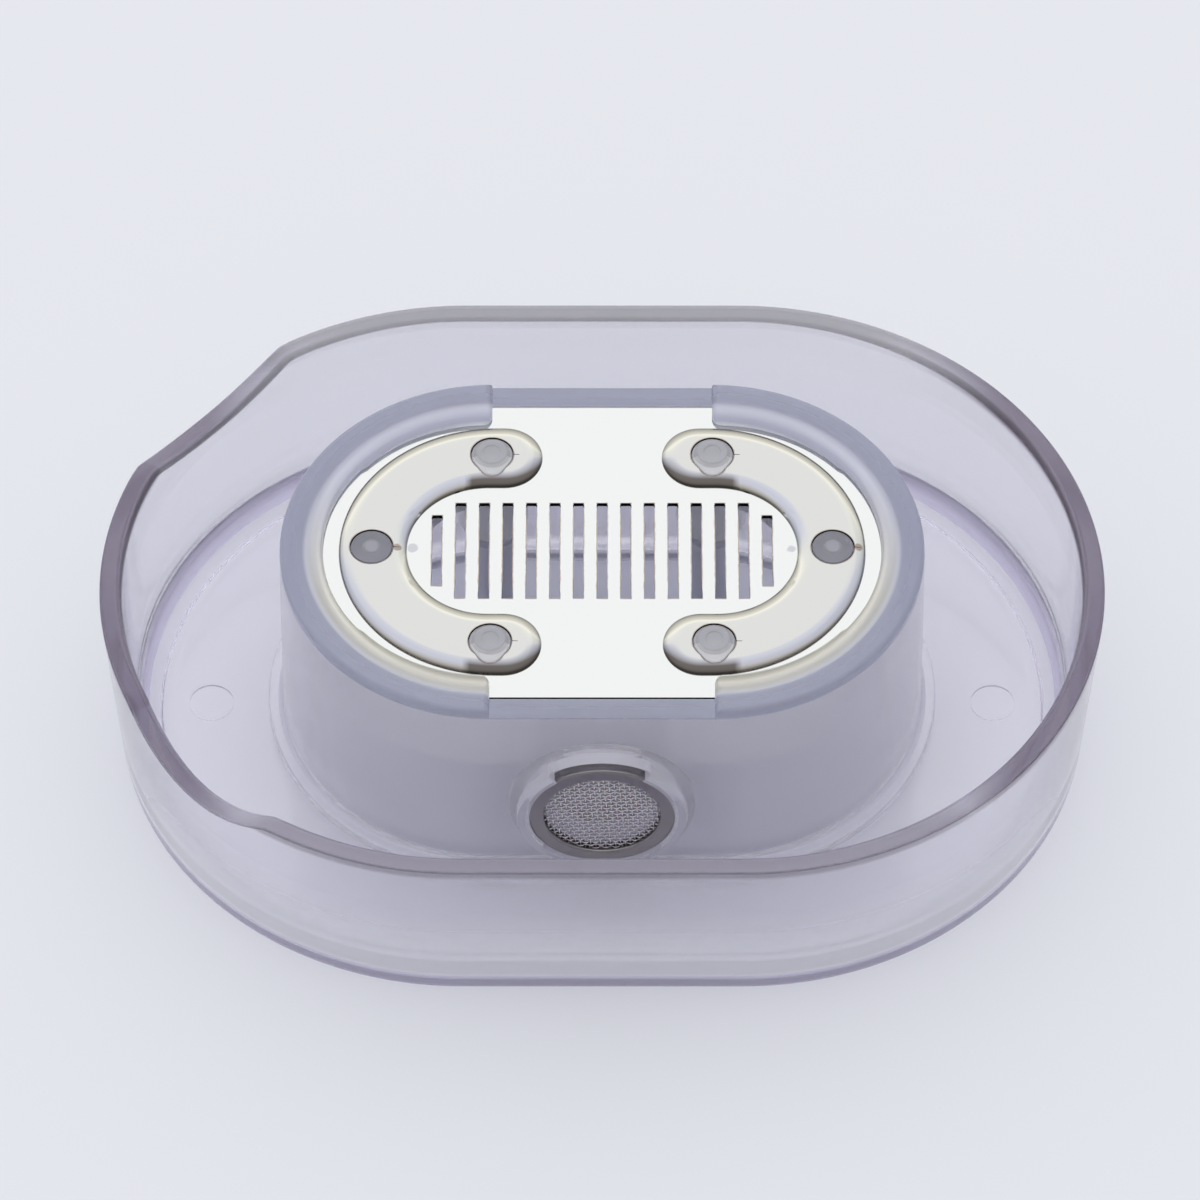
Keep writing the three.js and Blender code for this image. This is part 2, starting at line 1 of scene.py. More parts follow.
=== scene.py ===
"""Razor rinser: the finished surfaces of every piece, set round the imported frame.

A clear basin holds a small hand pump. Pressing the slotted steel plate drives water up through its
slots, and the return stroke draws water in through the round filter on the front.
Sizes are in millimetres until a point reaches Blender, +Z is up and the filter faces -Y.
"""

import logging
import math
from collections.abc import Callable, Iterator, Sequence
from contextlib import contextmanager
from dataclasses import dataclass
from enum import Enum

import bmesh
import bpy
from mathutils import Matrix, Vector


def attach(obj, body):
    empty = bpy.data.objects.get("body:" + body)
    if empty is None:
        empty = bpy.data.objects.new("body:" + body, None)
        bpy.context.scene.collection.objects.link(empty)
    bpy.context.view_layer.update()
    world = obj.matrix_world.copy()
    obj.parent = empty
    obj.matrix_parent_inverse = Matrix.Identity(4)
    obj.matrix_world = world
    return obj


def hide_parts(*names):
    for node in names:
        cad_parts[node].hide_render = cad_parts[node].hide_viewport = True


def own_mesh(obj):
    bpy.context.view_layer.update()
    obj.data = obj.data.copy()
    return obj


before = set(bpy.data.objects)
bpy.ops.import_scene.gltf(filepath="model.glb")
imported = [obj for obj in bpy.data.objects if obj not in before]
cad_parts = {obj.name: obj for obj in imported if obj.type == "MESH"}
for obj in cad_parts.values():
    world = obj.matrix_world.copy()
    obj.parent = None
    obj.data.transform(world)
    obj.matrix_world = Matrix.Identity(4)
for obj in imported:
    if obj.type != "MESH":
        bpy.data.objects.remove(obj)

log = logging.getLogger("razor_rinser")

Tree = bpy.types.NodeTree
Socket = bpy.types.NodeSocket

MM = 0.001
MERGE = 0.001
BODY_STAND = "stand"
BODY_PRESS = "press"
BODY_FLAP = "flap"
CORNERS = ((-1, -1), (1, -1), (-1, 1), (1, 1))


def linear_colour(hex_colour: str) -> tuple[float, float, float, float]:
    """Turns an sRGB colour such as "#E6E8EC" into the linear values that shaders use.

    Args:
        hex_colour: Six hexadecimal digits after a hash.

    Returns:
        Linear red, green and blue with full alpha.
    """
    channels = [int(hex_colour[i:i + 2], 16) / 255 for i in (1, 3, 5)]
    linear = [c / 12.92 if c <= 0.04045 else ((c + 0.055) / 1.055) ** 2.4 for c in channels]
    return (*linear, 1.0)


def deselect_all() -> None:
    """Leaves nothing selected, so that the next operator acts on its own piece alone."""
    if bpy.context.object and bpy.context.object.mode != "OBJECT":
        bpy.ops.object.mode_set(mode="OBJECT")
    bpy.ops.object.select_all(action="DESELECT")


class Mode(Enum):
    """Ways of combining two workpieces."""

    JOIN = "UNION"
    CUT = "DIFFERENCE"


@dataclass(frozen=True)
class Corner:
    """One corner of an outline, in millimetres along the drawing plane's two directions.

    Attributes:
        across: Distance along the plane's first direction.
        up: Distance along its second direction.
        rounding: Radius of the arc that replaces the corner, or 0 to leave it sharp.
    """

    across: float
    up: float
    rounding: float = 0.0

    def place(self) -> Vector:
        """Gives the corner as a point."""
        return Vector((self.across, self.up))


@dataclass(frozen=True)
class Arc:
    """The arc that rounds a corner: where it starts, its middle and how far it turns."""

    start: Vector
    middle: Vector
    turn: float

    @classmethod
    def at_corner(cls, before: Corner, corner: Corner, after: Corner) -> "Arc":
        """Works out the arc that rounds a corner between its two neighbours.

        Args:
            before: The corner drawn before it.
            corner: The corner to round.
            after: The corner drawn after it.

        Returns:
            The arc, turning counter-clockwise where its turn is positive.
        """
        here = corner.place()
        back = (before.place() - here).normalized()
        ahead = (after.place() - here).normalized()
        between = back.angle(ahead)
        start = here + back * (corner.rounding / math.tan(between / 2))
        middle = here + (back + ahead).normalized() * (corner.rounding / math.sin(between / 2))
        clockwise = back.x * ahead.y - back.y * ahead.x > 0
        turn = math.pi - between
        return cls(start, middle, -turn if clockwise else turn)

    def end(self) -> Vector:
        """Gives the place where the arc ends."""
        return self.middle + Matrix.Rotation(self.turn, 2) @ (self.start - self.middle)


@dataclass(frozen=True)
class DrawingPlane:
    """A plane in which outlines are drawn."""

    origin: Vector
    across: Vector
    up: Vector

    @classmethod
    def upright(cls, x: float = 0.0, y: float = 0.0) -> "DrawingPlane":
        """A section about the vertical through x and y, drawn outwards to the front."""
        return cls(Vector((x, y, 0)), Vector((0, -1, 0)), Vector((0, 0, 1)))

    @classmethod
    def plan(cls, z: float, x: float = 0.0, y: float = 0.0) -> "DrawingPlane":
        """A level plane for outlines seen from above."""
        return cls(Vector((x, y, z)), Vector((1, 0, 0)), Vector((0, 1, 0)))

    @classmethod
    def front(cls, depth: float, z: float) -> "DrawingPlane":
        """A plane for outlines seen from the front, at a depth towards the viewer."""
        return cls(Vector((0, -depth, z)), Vector((1, 0, 0)), Vector((0, 0, 1)))

    @classmethod
    def port(cls, z: float) -> "DrawingPlane":
        """A section about the port's axis: outwards to the right, and up is towards the viewer."""
        return cls(Vector((0, 0, z)), Vector((1, 0, 0)), Vector((0, -1, 0)))

    def point(self, place: Vector) -> Vector:
        """Turns a point of the drawing, in millimetres, into a point in space, in metres."""
        return (self.origin + self.across * place.x + self.up * place.y) * MM

    def normal(self) -> Vector:
        """Gives the direction about which drawn arcs turn."""
        return self.across.cross(self.up)


@dataclass(frozen=True)
class Track:
    """A racetrack path: two half circles, joined by straights along X."""

    half_straight: float
    steps: int = 96

    def outline(self, radius: float) -> list[Corner]:
        """Gives the racetrack at a radius as the corners of an outline."""
        reach = self.half_straight + radius
        return [Corner(sx * reach, sy * radius, radius)
                for sx, sy in ((1, -1), (1, 1), (-1, 1), (-1, -1))]


class Workpiece:
    """A mesh that is being modelled, from its first vertex to its finished place in the frame."""

    def __init__(self, name: str) -> None:
        """Starts from a primitive drawn together into one vertex at the origin.

        Args:
            name: What the piece is called.
        """
        deselect_all()
        bpy.ops.mesh.primitive_plane_add(size=MM)
        self.obj: bpy.types.Object = bpy.context.object
        self.rename(name)
        with self.editing():
            bpy.ops.mesh.merge(type="CENTER")

    @classmethod
    def turned(cls, name: str, plane: DrawingPlane, corners: Sequence[Corner], steps: int = 64,
               closed: bool = False) -> "Workpiece":
        """Turns a section a whole turn about the plane's upward direction.

        Args:
            name: What the piece is called.
            plane: Where the section is drawn; its origin is on the axis.
            corners: The section's corners, with its two ends on the axis unless it is closed.
            steps: Faces round the axis.
            closed: Whether the section runs back to its first corner.

        Returns:
            The closed body.
        """
        piece = cls(name)
        piece.draw(plane, corners, closed)
        with piece.editing():
            cls.spin(steps, math.tau, plane.origin * MM, plane.up)
        piece.close()
        return piece

    @classmethod
    def swept(cls, name: str, track: Track, corners: Sequence[Corner],
              closed: bool = True) -> "Workpiece":
        """Carries a section round a racetrack, starting from its front right corner.

        Args:
            name: What the piece is called.
            track: The path.
            corners: The section's corners, outwards from the path's middle line.
            closed: Whether the section runs back to its first corner, or ends on the middle.

        Returns:
            The closed body.
        """
        piece = cls(name)
        piece.draw(DrawingPlane.upright(track.half_straight), corners, closed)
        middle = Vector((track.half_straight * MM, 0, 0))
        with piece.editing():
            for side in (1, -1):
                cls.spin(track.steps, math.pi, side * middle, Vector((0, 0, 1)))
                bpy.ops.mesh.select_mode(type="EDGE")
                cls.extrude(-2 * side * middle)
        piece.close()
        return piece

    @classmethod
    def prism(cls, name: str, plane: DrawingPlane, corners: Sequence[Corner], depth: float,
              arc_degrees: float = 12.0) -> "Workpiece":
        """Gives a closed outline a thickness along the plane's normal.

        Args:
            name: What the piece is called.
            plane: Where the outline is drawn.
            corners: Its corners in order.
            depth: The thickness, negative to go against the normal.
            arc_degrees: How far each step of an arc turns.

        Returns:
            The closed body.
        """
        piece = cls(name)
        piece.draw(plane, corners, True, arc_degrees)
        with piece.editing():
            bpy.ops.mesh.edge_face_add()
            cls.extrude(plane.normal() * depth * MM)
        piece.close()
        return piece

    def rename(self, name: str) -> None:
        """Names the object and its mesh."""
        self.obj.name = name
        self.obj.data.name = name

    def activate(self) -> None:
        """Makes this piece the one that the next operator acts on."""
        deselect_all()
        self.obj.select_set(True)
        bpy.context.view_layer.objects.active = self.obj

    @contextmanager
    def editing(self, domain: str = "VERT") -> Iterator[None]:
        """Opens the mesh for editing with all of it selected, and closes it again.

        Args:
            domain: VERT, EDGE or FACE, the kind of element that is selected.
        """
        self.activate()
        bpy.ops.object.mode_set(mode="EDIT")
        bpy.ops.mesh.select_mode(type=domain)
        bpy.ops.mesh.select_all(action="SELECT")
        try:
            yield
        finally:
            bpy.ops.object.mode_set(mode="OBJECT")

    def select(self, domain: str, wanted: Callable[..., bool]) -> int:
        """Selects the elements of the open mesh that pass a test.

        Args:
            domain: VERT, EDGE or FACE.
            wanted: The test, given places in millimetres: a vertex's, an edge's two ends, or a
                face's middle and its normal.

        Returns:
            How many are selected.
        """
        bpy.ops.mesh.select_mode(type=domain)
        bpy.ops.mesh.select_all(action="DESELECT")
        mesh = bmesh.from_edit_mesh(self.obj.data)
        if domain == "VERT":
            found = [v for v in mesh.verts if wanted(v.co / MM)]
        elif domain == "EDGE":
            found = [e for e in mesh.edges if wanted(e.verts[0].co / MM, e.verts[1].co / MM)]
        else:
            found = [f for f in mesh.faces if wanted(f.calc_center_median() / MM, f.normal)]
        for element in found:
            element.select_set(True)
        mesh.select_flush_mode()
        bmesh.update_edit_mesh(self.obj.data)
        return len(found)

    def draw(self, plane: DrawingPlane, corners: Sequence[Corner], closed: bool,
             arc_degrees: float = 12.0) -> None:
        """Draws an outline from the single vertex: straight edges, and rounded corners as arcs.

        Args:
            plane: Where the outline lies.
            corners: Its corners in order.
            closed: Whether the last corner runs back to the first.
            arc_degrees: How far each step of an arc turns.
        """
        count = len(corners)
        with self.editing():
            first = corners[0].place()
            if closed and corners[0].rounding > 0:
                first = Arc.at_corner(corners[-1], corners[0], corners[1]).start
            bpy.ops.transform.translate(value=plane.point(first))
            pen = first
            for i, corner in enumerate(corners):
                if corner.rounding > 0 and (closed or 0 < i < count - 1):
                    arc = Arc.at_corner(corners[i - 1], corner, corners[(i + 1) % count])
                    self.draw_line(plane, pen, arc.start)
                    steps = max(2, round(math.degrees(abs(arc.turn)) / arc_degrees))
                    self.spin(steps, arc.turn, plane.point(arc.middle), plane.normal())
                    pen = arc.end()
                else:
                    self.draw_line(plane, pen, corner.place())
                    pen = corner.place()
            if closed:
                self.draw_line(plane, pen, first)
                bpy.ops.mesh.select_all(action="SELECT")
                bpy.ops.mesh.remove_doubles(threshold=MERGE * MM)

    @staticmethod
    def spin(steps: int, turn: float, middle: Vector, axis: Vector) -> None:
        """Sweeps what is selected round an axis, counter-clockwise where the turn is positive.

        Args:
            steps: Copies along the way.
            turn: How far it turns, in radians. The operator itself counts clockwise.
            middle: A point on the axis, in metres.
            axis: The axis.
        """
        bpy.ops.mesh.spin(steps=steps, angle=-turn, center=middle, axis=axis, use_auto_merge=False)

    @staticmethod
    def extrude(step: Vector) -> None:
        """Extrudes what is selected by a step, in metres."""
        bpy.ops.mesh.extrude_region_move(TRANSFORM_OT_translate={"value": step})

    @staticmethod
    def draw_line(plane: DrawingPlane, pen: Vector, place: Vector) -> None:
        """Extrudes the selected vertex in a straight edge from where the pen is to a place."""
        step = plane.point(place) - plane.point(pen)
        if step.length > MERGE * MM:
            bpy.ops.mesh.extrude_vertices_move(TRANSFORM_OT_translate={"value": step})

    def close(self) -> None:
        """Merges the seams and poles, and turns every face outwards."""
        with self.editing():
            bpy.ops.mesh.remove_doubles(threshold=MERGE * MM)
            bpy.ops.mesh.normals_make_consistent(inside=False)

    def copied(self, name: str, shift: tuple[float, float, float] = (0, 0, 0),
               flip: tuple[int, int, int] = (1, 1, 1)) -> "Workpiece":
        """Makes a copy with its own mesh, mirrored about the origin and then moved.

        Args:
            name: What the copy is called.
            shift: How far it moves.
            flip: Minus one for each direction in which it is mirrored.

        Returns:
            The copy.
        """
        self.activate()
        bpy.ops.object.duplicate()
        copy = Workpiece.__new__(Workpiece)
        copy.obj = bpy.context.object
        copy.rename(name)
        with copy.editing():
            if min(flip) < 0:
                bpy.ops.transform.resize(value=flip, center_override=(0, 0, 0))
                bpy.ops.mesh.normals_make_consistent(inside=False)
            bpy.ops.transform.translate(value=Vector(shift) * MM)
        return copy

    def repeated(self, places: Sequence[tuple[float, float, float]]) -> None:
        """Puts a copy of the mesh at every place, in place of the one that was modelled."""
        copies = [self.copied(f"{self.obj.name}_{i}", place) for i, place in enumerate(places)]
        with self.editing():
            bpy.ops.mesh.delete(type="VERT")
        for copy in copies:
            self.join(copy)

    def join(self, other: "Workpiece") -> None:
        """Takes in another piece's mesh as it is."""
        self.activate()
        other.obj.select_set(True)
        bpy.ops.object.join()

    def combine(self, tool: "Workpiece", mode: Mode) -> None:
        """Adds or cuts away another body, which is used up.

        Args:
            tool: The other body.
            mode: What is done with it.
        """
        modifier = self.obj.modifiers.new(tool.obj.name, "BOOLEAN")
        modifier.operation = mode.value
        modifier.solver = "EXACT"
        modifier.object = tool.obj
        self.apply(modifier)
        bpy.data.objects.remove(tool.obj)

    def apply(self, modifier: bpy.types.Modifier) -> None:
        """Applies a modifier to the mesh."""
        self.activate()
        bpy.ops.object.modifier_apply(modifier=modifier.name)

    def round_edges(self, wanted: Callable[[Vector, Vector], bool], radius: float,
                    segments: int = 3) -> int:
        """Rounds the edges that pass a test.

        Args:
            wanted: The test, given an edge's two ends in millimetres.
            radius: How far the rounding reaches from the edge.
            segments: Faces across the rounding.

        Returns:
            How many edges were rounded.
        """
        with self.editing():
            count = self.select("EDGE", wanted)
            if count:
                bpy.ops.mesh.bevel(offset=radius * MM, segments=segments, affect="EDGES",
                                   clamp_overlap=True)
        return count

    def smooth(self, degrees: float) -> None:
        """Shades the piece smooth except over edges sharper than an angle, flats held flat."""
        self.activate()
        bpy.ops.object.shade_smooth_by_angle(angle=math.radians(degrees))
        weighted = self.obj.modifiers.new("hold_flats", "WEIGHTED_NORMAL")
        weighted.keep_sharp = True
        self.apply(weighted)

    def place(self, body: str, slot: str, finish: bpy.types.Material, *nodes: str,
              smooth_degrees: float = 32.0) -> None:
        """Finishes the piece: shading, material, the body it rides on and the nodes it stands for.

        Args:
            body: The body that carries it.
            slot: Name of a material slot; not used.
            finish: Its material.
            *nodes: The CAD nodes that it replaces.
            smooth_degrees: The angle past which an edge looks sharp.
        """
        self.smooth(smooth_degrees)
        self.obj.data.materials.clear()
        self.obj.data.materials.append(finish)
        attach(self.obj, body)
        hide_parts(*nodes)
        mesh = self.obj.data
        mesh.calc_loop_triangles()
        log.info("%s: %d triangles on %s", self.obj.name, len(mesh.loop_triangles), body)


def add_node(tree: Tree, kind: str, inputs: dict | None = None,
             **settings: object) -> bpy.types.Node:
    """Adds a shader node with its settings and links.

    Args:
        tree: The material's node tree.
        kind: The node's type, without the words that every shader node's type starts with.
        inputs: What goes into each input, by name or number: another node's output, or a value.
        **settings: The node's own properties.

    Returns:
        The node.
    """
    node = tree.nodes.new(f"ShaderNode{kind}")
    for key, value in settings.items():
        setattr(node, key, value)
    for key, value in (inputs or {}).items():
        if isinstance(value, Socket):
            tree.links.new(value, node.inputs[key])
        else:
            node.inputs[key].default_value = value
    return node


def lay_stops(ramp: bpy.types.Node, stops: Sequence[tuple[float, str]]) -> None:
    """Gives a colour ramp its stops.

    Args:
        ramp: The ramp, with the two stops that it starts with.
        stops: Place and colour of each stop, from first to last.
    """
    elements = ramp.color_ramp.elements
    elements.remove(elements[-1])
    for i, (position, colour) in enumerate(stops):
        stop = elements[0] if i == 0 else elements.new(position)
        stop.position = position
        stop.color = linear_colour(colour)


def new_material(name: str) -> tuple[bpy.types.Material, Tree]:
    """Starts a material with an empty node tree."""
    material = bpy.data.materials.new(name)
    material.use_nodes = True
    material.node_tree.nodes.clear()
    return material, material.node_tree


def pattern_scale(size: float) -> float:
    """Gives a texture's scale on Object coordinates for a feature of a size in millimetres."""
    return 1 / (size * MM)


@dataclass(frozen=True)
class TonedPlastic:
    """Styrene acrylonitrile, injection moulded and toned lavender.

    The eye sees a glassy skin with a faint ripple, a haze that softens what lies behind it, and a
    violet tint that deepens with thickness.

    Attributes:
        name: The material's name.
        haze: Colour of the light that the plastic scatters back.
        clarity: Share of the light that passes through.
        roughness: Roughness of the skin.
        roughness_inside: Roughness of the surfaces near the middle line, or None for the same.
        inside_radius: How far from the middle line those surfaces reach, in millimetres.
        half_straight: Half the straight part of that middle line, in millimetres.
        tint: Colour of the volume.
        density: Density of the tint per metre.
    """

    name: str
    haze: str = "#F8F7FC"
    clarity: float = 0.82
    roughness: float = 0.2
    roughness_inside: float | None = None
    inside_radius: float = 25.3
    half_straight: float = 14.25
    tint: str = "#9C8EB8"
    density: float = 28.0
    ripple_size: float = 9.0
    grain_size: float = 0.6

    def material(self) -> bpy.types.Material:
        """Builds the material."""
        material, tree = new_material(self.name)
        place = add_node(tree, "TexCoord").outputs["Object"]
        ripple = add_node(tree, "TexNoise", {
            "Vector": place, "Scale": pattern_scale(self.ripple_size), "Detail": 1.0})
        bump = add_node(tree, "Bump", {
            "Height": ripple.outputs["Fac"], "Strength": 0.05, "Distance": 0.3 * MM})
        grain = add_node(tree, "TexNoise", {
            "Vector": place, "Scale": pattern_scale(self.grain_size), "Detail": 2.0})
        spread = add_node(tree, "MapRange", {
            "Value": grain.outputs["Fac"], "To Min": self.roughness * 0.85,
            "To Max": self.roughness * 1.15})
        roughness = spread.outputs["Result"]
        if self.roughness_inside is not None:
            outer = add_node(tree, "Math", {
                0: self.track_radius(tree, place), 1: self.inside_radius * MM},
                operation="GREATER_THAN")
            roughness = add_node(tree, "Mix", {
                "Factor": outer.outputs[0], "A": self.roughness_inside, "B": roughness},
                data_type="FLOAT").outputs["Result"]
        colour, clarity = self.skin(tree, place)
        shader = add_node(tree, "BsdfPrincipled", {
            "Base Color": colour, "Roughness": roughness,
            "IOR": 1.5, "Transmission Weight": clarity, "Normal": bump.outputs["Normal"]})
        # Lamps shine through to what stands behind, as they do through thin clear plastic.
        path = add_node(tree, "LightPath")
        through = add_node(tree, "Math", {
            0: path.outputs["Is Shadow Ray"], 1: path.outputs["Is Diffuse Ray"]},
            operation="MAXIMUM")
        clear = add_node(tree, "BsdfTransparent", {"Color": linear_colour("#FDFDFE")})
        surface = add_node(tree, "MixShader", {
            0: through.outputs[0], 1: shader.outputs["BSDF"], 2: clear.outputs["BSDF"]})
        absorption = add_node(tree, "VolumeAbsorption", {
            "Color": linear_colour(self.tint), "Density": self.density})
        add_node(tree, "OutputMaterial", {
            "Surface": surface.outputs["Shader"], "Volume": absorption.outputs["Volume"]})
        return material

    def skin(self, tree: Tree, place: Socket) -> tuple:
        """Gives the haze's colour and the clarity, the same all over."""
        return linear_colour(self.haze), self.clarity

    def track_radius(self, tree: Tree, place: Socket) -> Socket:
        """Gives how far a point lies from the racetrack's middle line, in metres."""
        split = add_node(tree, "SeparateXYZ", {"Vector": place})
        reach = add_node(tree, "Math", {0: split.outputs["X"]}, operation="ABSOLUTE")
        along = add_node(tree, "Math", {
            0: reach.outputs[0], 1: self.half_straight * MM}, operation="SUBTRACT")
        beyond = add_node(tree, "Math", {0: along.outputs[0], 1: 0.0}, operation="MAXIMUM")
        spoke = add_node(tree, "CombineXYZ", {
            "X": beyond.outputs[0], "Y": split.outputs["Y"], "Z": 0.0})
        return add_node(tree, "VectorMath", {0: spoke.outputs[0]},
                        operation="LENGTH").outputs["Value"]


@dataclass(frozen=True)
class BasinPlastic(TonedPlastic):
    """The toned plastic of the basin: polished, with painted shade along its rim.

    The rim's bead is painted darker, painted shade for the light lost along it, most at the two
    ends and in front, and the moulded foot is hazy. The front wall above the foot is painted hazier
    and brighter, a painted glow for the light that the foot scatters, and the floor under the
    housing is matt. Heights, places and radii are in millimetres, from where a zone starts to where
    it is full or has faded.

    Attributes:
        rim_painted_shade: Painted shade of the rim's bead.
        rim_clarity: Clarity of the rim.
        rim_from: Height above which what faces up belongs to the rim, in the dips too.
        end_places: Distance from the middle between which the ends' painted shade grows.
        front_share: How much of that painted shade the front has.
        foot_haze: Colour of the foot.
        painted_front_glow: Colour of the painted glow on the wall above the foot.
        core_haze: Colour of the floor under the housing.
    """

    # painted shade on the rim's bead, strongest at the ends and in front
    rim_painted_shade: str = "#807582"
    rim_clarity: float = 0.75
    rim_from: float = 20.5
    rim_heights: tuple[float, float] = (25.6, 26.6)
    end_places: tuple[float, float] = (38.0, 54.0)
    front_places: tuple[float, float] = (-40.0, -30.0)
    front_share: float = 0.75
    foot_haze: str = "#D3CEE6"
    foot_clarity: float = 0.5
    foot_heights: tuple[float, float] = (2.8, 3.6)
    foot_radii: tuple[float, float] = (43.0, 43.6)
    # painted glow: the front wall above the foot painted hazier and brighter
    painted_front_glow: str = "#EFEFF6"
    glow_clarity: float = 0.22
    glow_heights: tuple[float, float] = (5.0, 19.0)
    glow_places: tuple[float, float] = (-30.0, -8.0)
    core_haze: str = "#CFD0DC"
    core_clarity: float = 0.35
    core_radii: tuple[float, float] = (23.9, 24.3)

    def skin(self, tree: Tree, place: Socket) -> tuple:
        """Gives the haze's colour and the clarity: painted shade on the rim, a painted glow on the
        front wall, a hazy foot and middle.
        """
        split = add_node(tree, "SeparateXYZ", {"Vector": place})
        radius = self.track_radius(tree, place)
        aside = add_node(tree, "Math", {0: split.outputs["X"]}, operation="ABSOLUTE")
        shares = []
        for value, (start, end), low, high in (
                (split.outputs["Z"], self.rim_heights, 0.0, 1.0),
                (aside.outputs[0], self.end_places, 0.0, 1.0),
                (split.outputs["Y"], self.front_places, self.front_share, 0.0),
                (split.outputs["Z"], self.foot_heights, 1.0, 0.0),
                (split.outputs["Z"], self.glow_heights, 1.0, 0.0),
                (split.outputs["Y"], self.glow_places, 1.0, 0.0),
                (radius, self.foot_radii, 0.0, 1.0), (radius, self.core_radii, 1.0, 0.0)):
            shares.append(add_node(tree, "MapRange", {
                "Value": value, "From Min": start * MM, "From Max": end * MM,
                "To Min": low, "To Max": high}, interpolation_type="SMOOTHSTEP").outputs["Result"])
        top, ends, front, below, faded, ahead, outside, core = shares
        most = add_node(tree, "Math", {0: ends, 1: front}, operation="MAXIMUM")
        level = add_node(tree, "SeparateXYZ", {
            "Vector": add_node(tree, "TexCoord").outputs["Normal"]})
        high = add_node(tree, "Math", {0: split.outputs["Z"], 1: self.rim_from * MM},
                        operation="GREATER_THAN")
        flat = add_node(tree, "Math", {
            0: level.outputs["Z"], 1: high.outputs[0]}, operation="MULTIPLY")
        crest = add_node(tree, "Math", {0: top, 1: flat.outputs[0]}, operation="MAXIMUM").outputs[0]
        rim = add_node(tree, "Math", {0: crest, 1: most.outputs[0]},
                       operation="MULTIPLY").outputs[0]
        foot = add_node(tree, "Math", {0: below, 1: outside}, operation="MULTIPLY").outputs[0]
        wall = add_node(tree, "Math", {0: faded, 1: outside}, operation="MULTIPLY").outputs[0]
        glow = add_node(tree, "Math", {0: wall, 1: ahead}, operation="MULTIPLY").outputs[0]
        colour, clarity = linear_colour(self.haze), self.clarity
        # The rim's bead gets painted shade and the front wall a painted glow; the foot and middle
        # turn hazier.
        for tinted, tone, cleared, zone in (
                (rim, self.rim_painted_shade, crest, self.rim_clarity),
                (glow, self.painted_front_glow, glow, self.glow_clarity),
                (foot, self.foot_haze, foot, self.foot_clarity),
                (core, self.core_haze, core, self.core_clarity)):
            colour = add_node(tree, "Mix", {
                "Factor": tinted, 6: colour, 7: linear_colour(tone)}, data_type="RGBA").outputs[2]
            clarity = add_node(tree, "Mix", {
                "Factor": cleared, "A": clarity, "B": zone}, data_type="FLOAT").outputs["Result"]
        return colour, clarity


@dataclass(frozen=True)
class HousingPlastic(TonedPlastic):
    """The toned plastic of the housing: satin inside, its level top edge painted bluer and darker
    as painted shade.

    The lips' slopes carry painted bands of reflection and highlight, warm in front and cool to the
    rear.

    Attributes:
        top_painted_shade: Painted shade of the level top, at top_heights and outside top_radii, in
            millimetres.
        top_clarity: Its clarity.
        slope_radii: Distance from the middle line where the slope starts and ends.
        slope_from: Height above which it lies.
        slope_painted_front: Painted reflections and highlights across the front slope, from its
            inner edge outwards.
        slope_painted_rear: The same painted bands across the rear slope.
        slope_places: Places along Y between which the one passes into the other.
    """

    # painted shade: the level top edge darker and bluer
    top_painted_shade: str = "#B6BACD"
    top_clarity: float = 0.6
    top_heights: tuple[float, float] = (33.3, 33.7)
    top_radii: tuple[float, float] = (23.8, 24.3)
    slope_radii: tuple[float, float] = (20.6, 24.1)
    slope_from: float = 33.9
    # painted reflections and highlights in bands across the lips' slopes
    slope_painted_front: tuple[tuple[float, str], ...] = (
        (0.0, "#F9F7F0"), (0.12, "#BDBBB2"), (0.3, "#E4E1D5"), (0.46, "#FFFDF6"), (0.56, "#E6E4DE"),
        (0.75, "#D6D5D3"), (1.0, "#F0F1F8"))
    slope_painted_rear: tuple[tuple[float, str], ...] = (
        (0.0, "#FFFFFF"), (0.14, "#C6C7D8"), (0.4, "#D2D3E2"), (0.68, "#F4F5FF"), (1.0, "#D5D6E4"))
    slope_places: tuple[float, float] = (-8.0, 12.0)

    def skin(self, tree: Tree, place: Socket) -> tuple:
        """Gives the haze's colour and the clarity: painted shade on the top edge, painted
        reflections and highlights in bands on the slope.
        """
        split = add_node(tree, "SeparateXYZ", {"Vector": place})
        radius = self.track_radius(tree, place)
        shares = []
        for value, (start, end) in ((split.outputs["Z"], self.top_heights),
                                    (radius, self.top_radii), (radius, self.slope_radii),
                                    (split.outputs["Y"], self.slope_places)):
            shares.append(add_node(tree, "MapRange", {
                "Value": value, "From Min": start * MM, "From Max": end * MM}).outputs["Result"])
        bands = []
        for stops in (self.slope_painted_front, self.slope_painted_rear):
            ramp = add_node(tree, "ValToRGB", {"Fac": shares[2]})
            lay_stops(ramp, stops)
            bands.append(ramp.outputs["Color"])
        banded = add_node(tree, "Mix", {"Factor": shares[3], 6: bands[0], 7: bands[1]},
                          data_type="RGBA")
        above = add_node(tree, "Math", {
            0: split.outputs["Z"], 1: self.slope_from * MM}, operation="GREATER_THAN")
        top = add_node(tree, "Math", {0: shares[0], 1: shares[1]}, operation="MULTIPLY")
        colour = linear_colour(self.haze)
        for share, tone in ((above, banded.outputs[2]), (top, linear_colour(self.top_painted_shade))):
            colour = add_node(tree, "Mix", {"Factor": share.outputs[0], 6: colour, 7: tone},
                              data_type="RGBA").outputs[2]
        clarity = add_node(tree, "Mix", {
            "Factor": top.outputs[0], "A": self.clarity, "B": self.top_clarity},
            data_type="FLOAT")
        return colour, clarity.outputs["Result"]


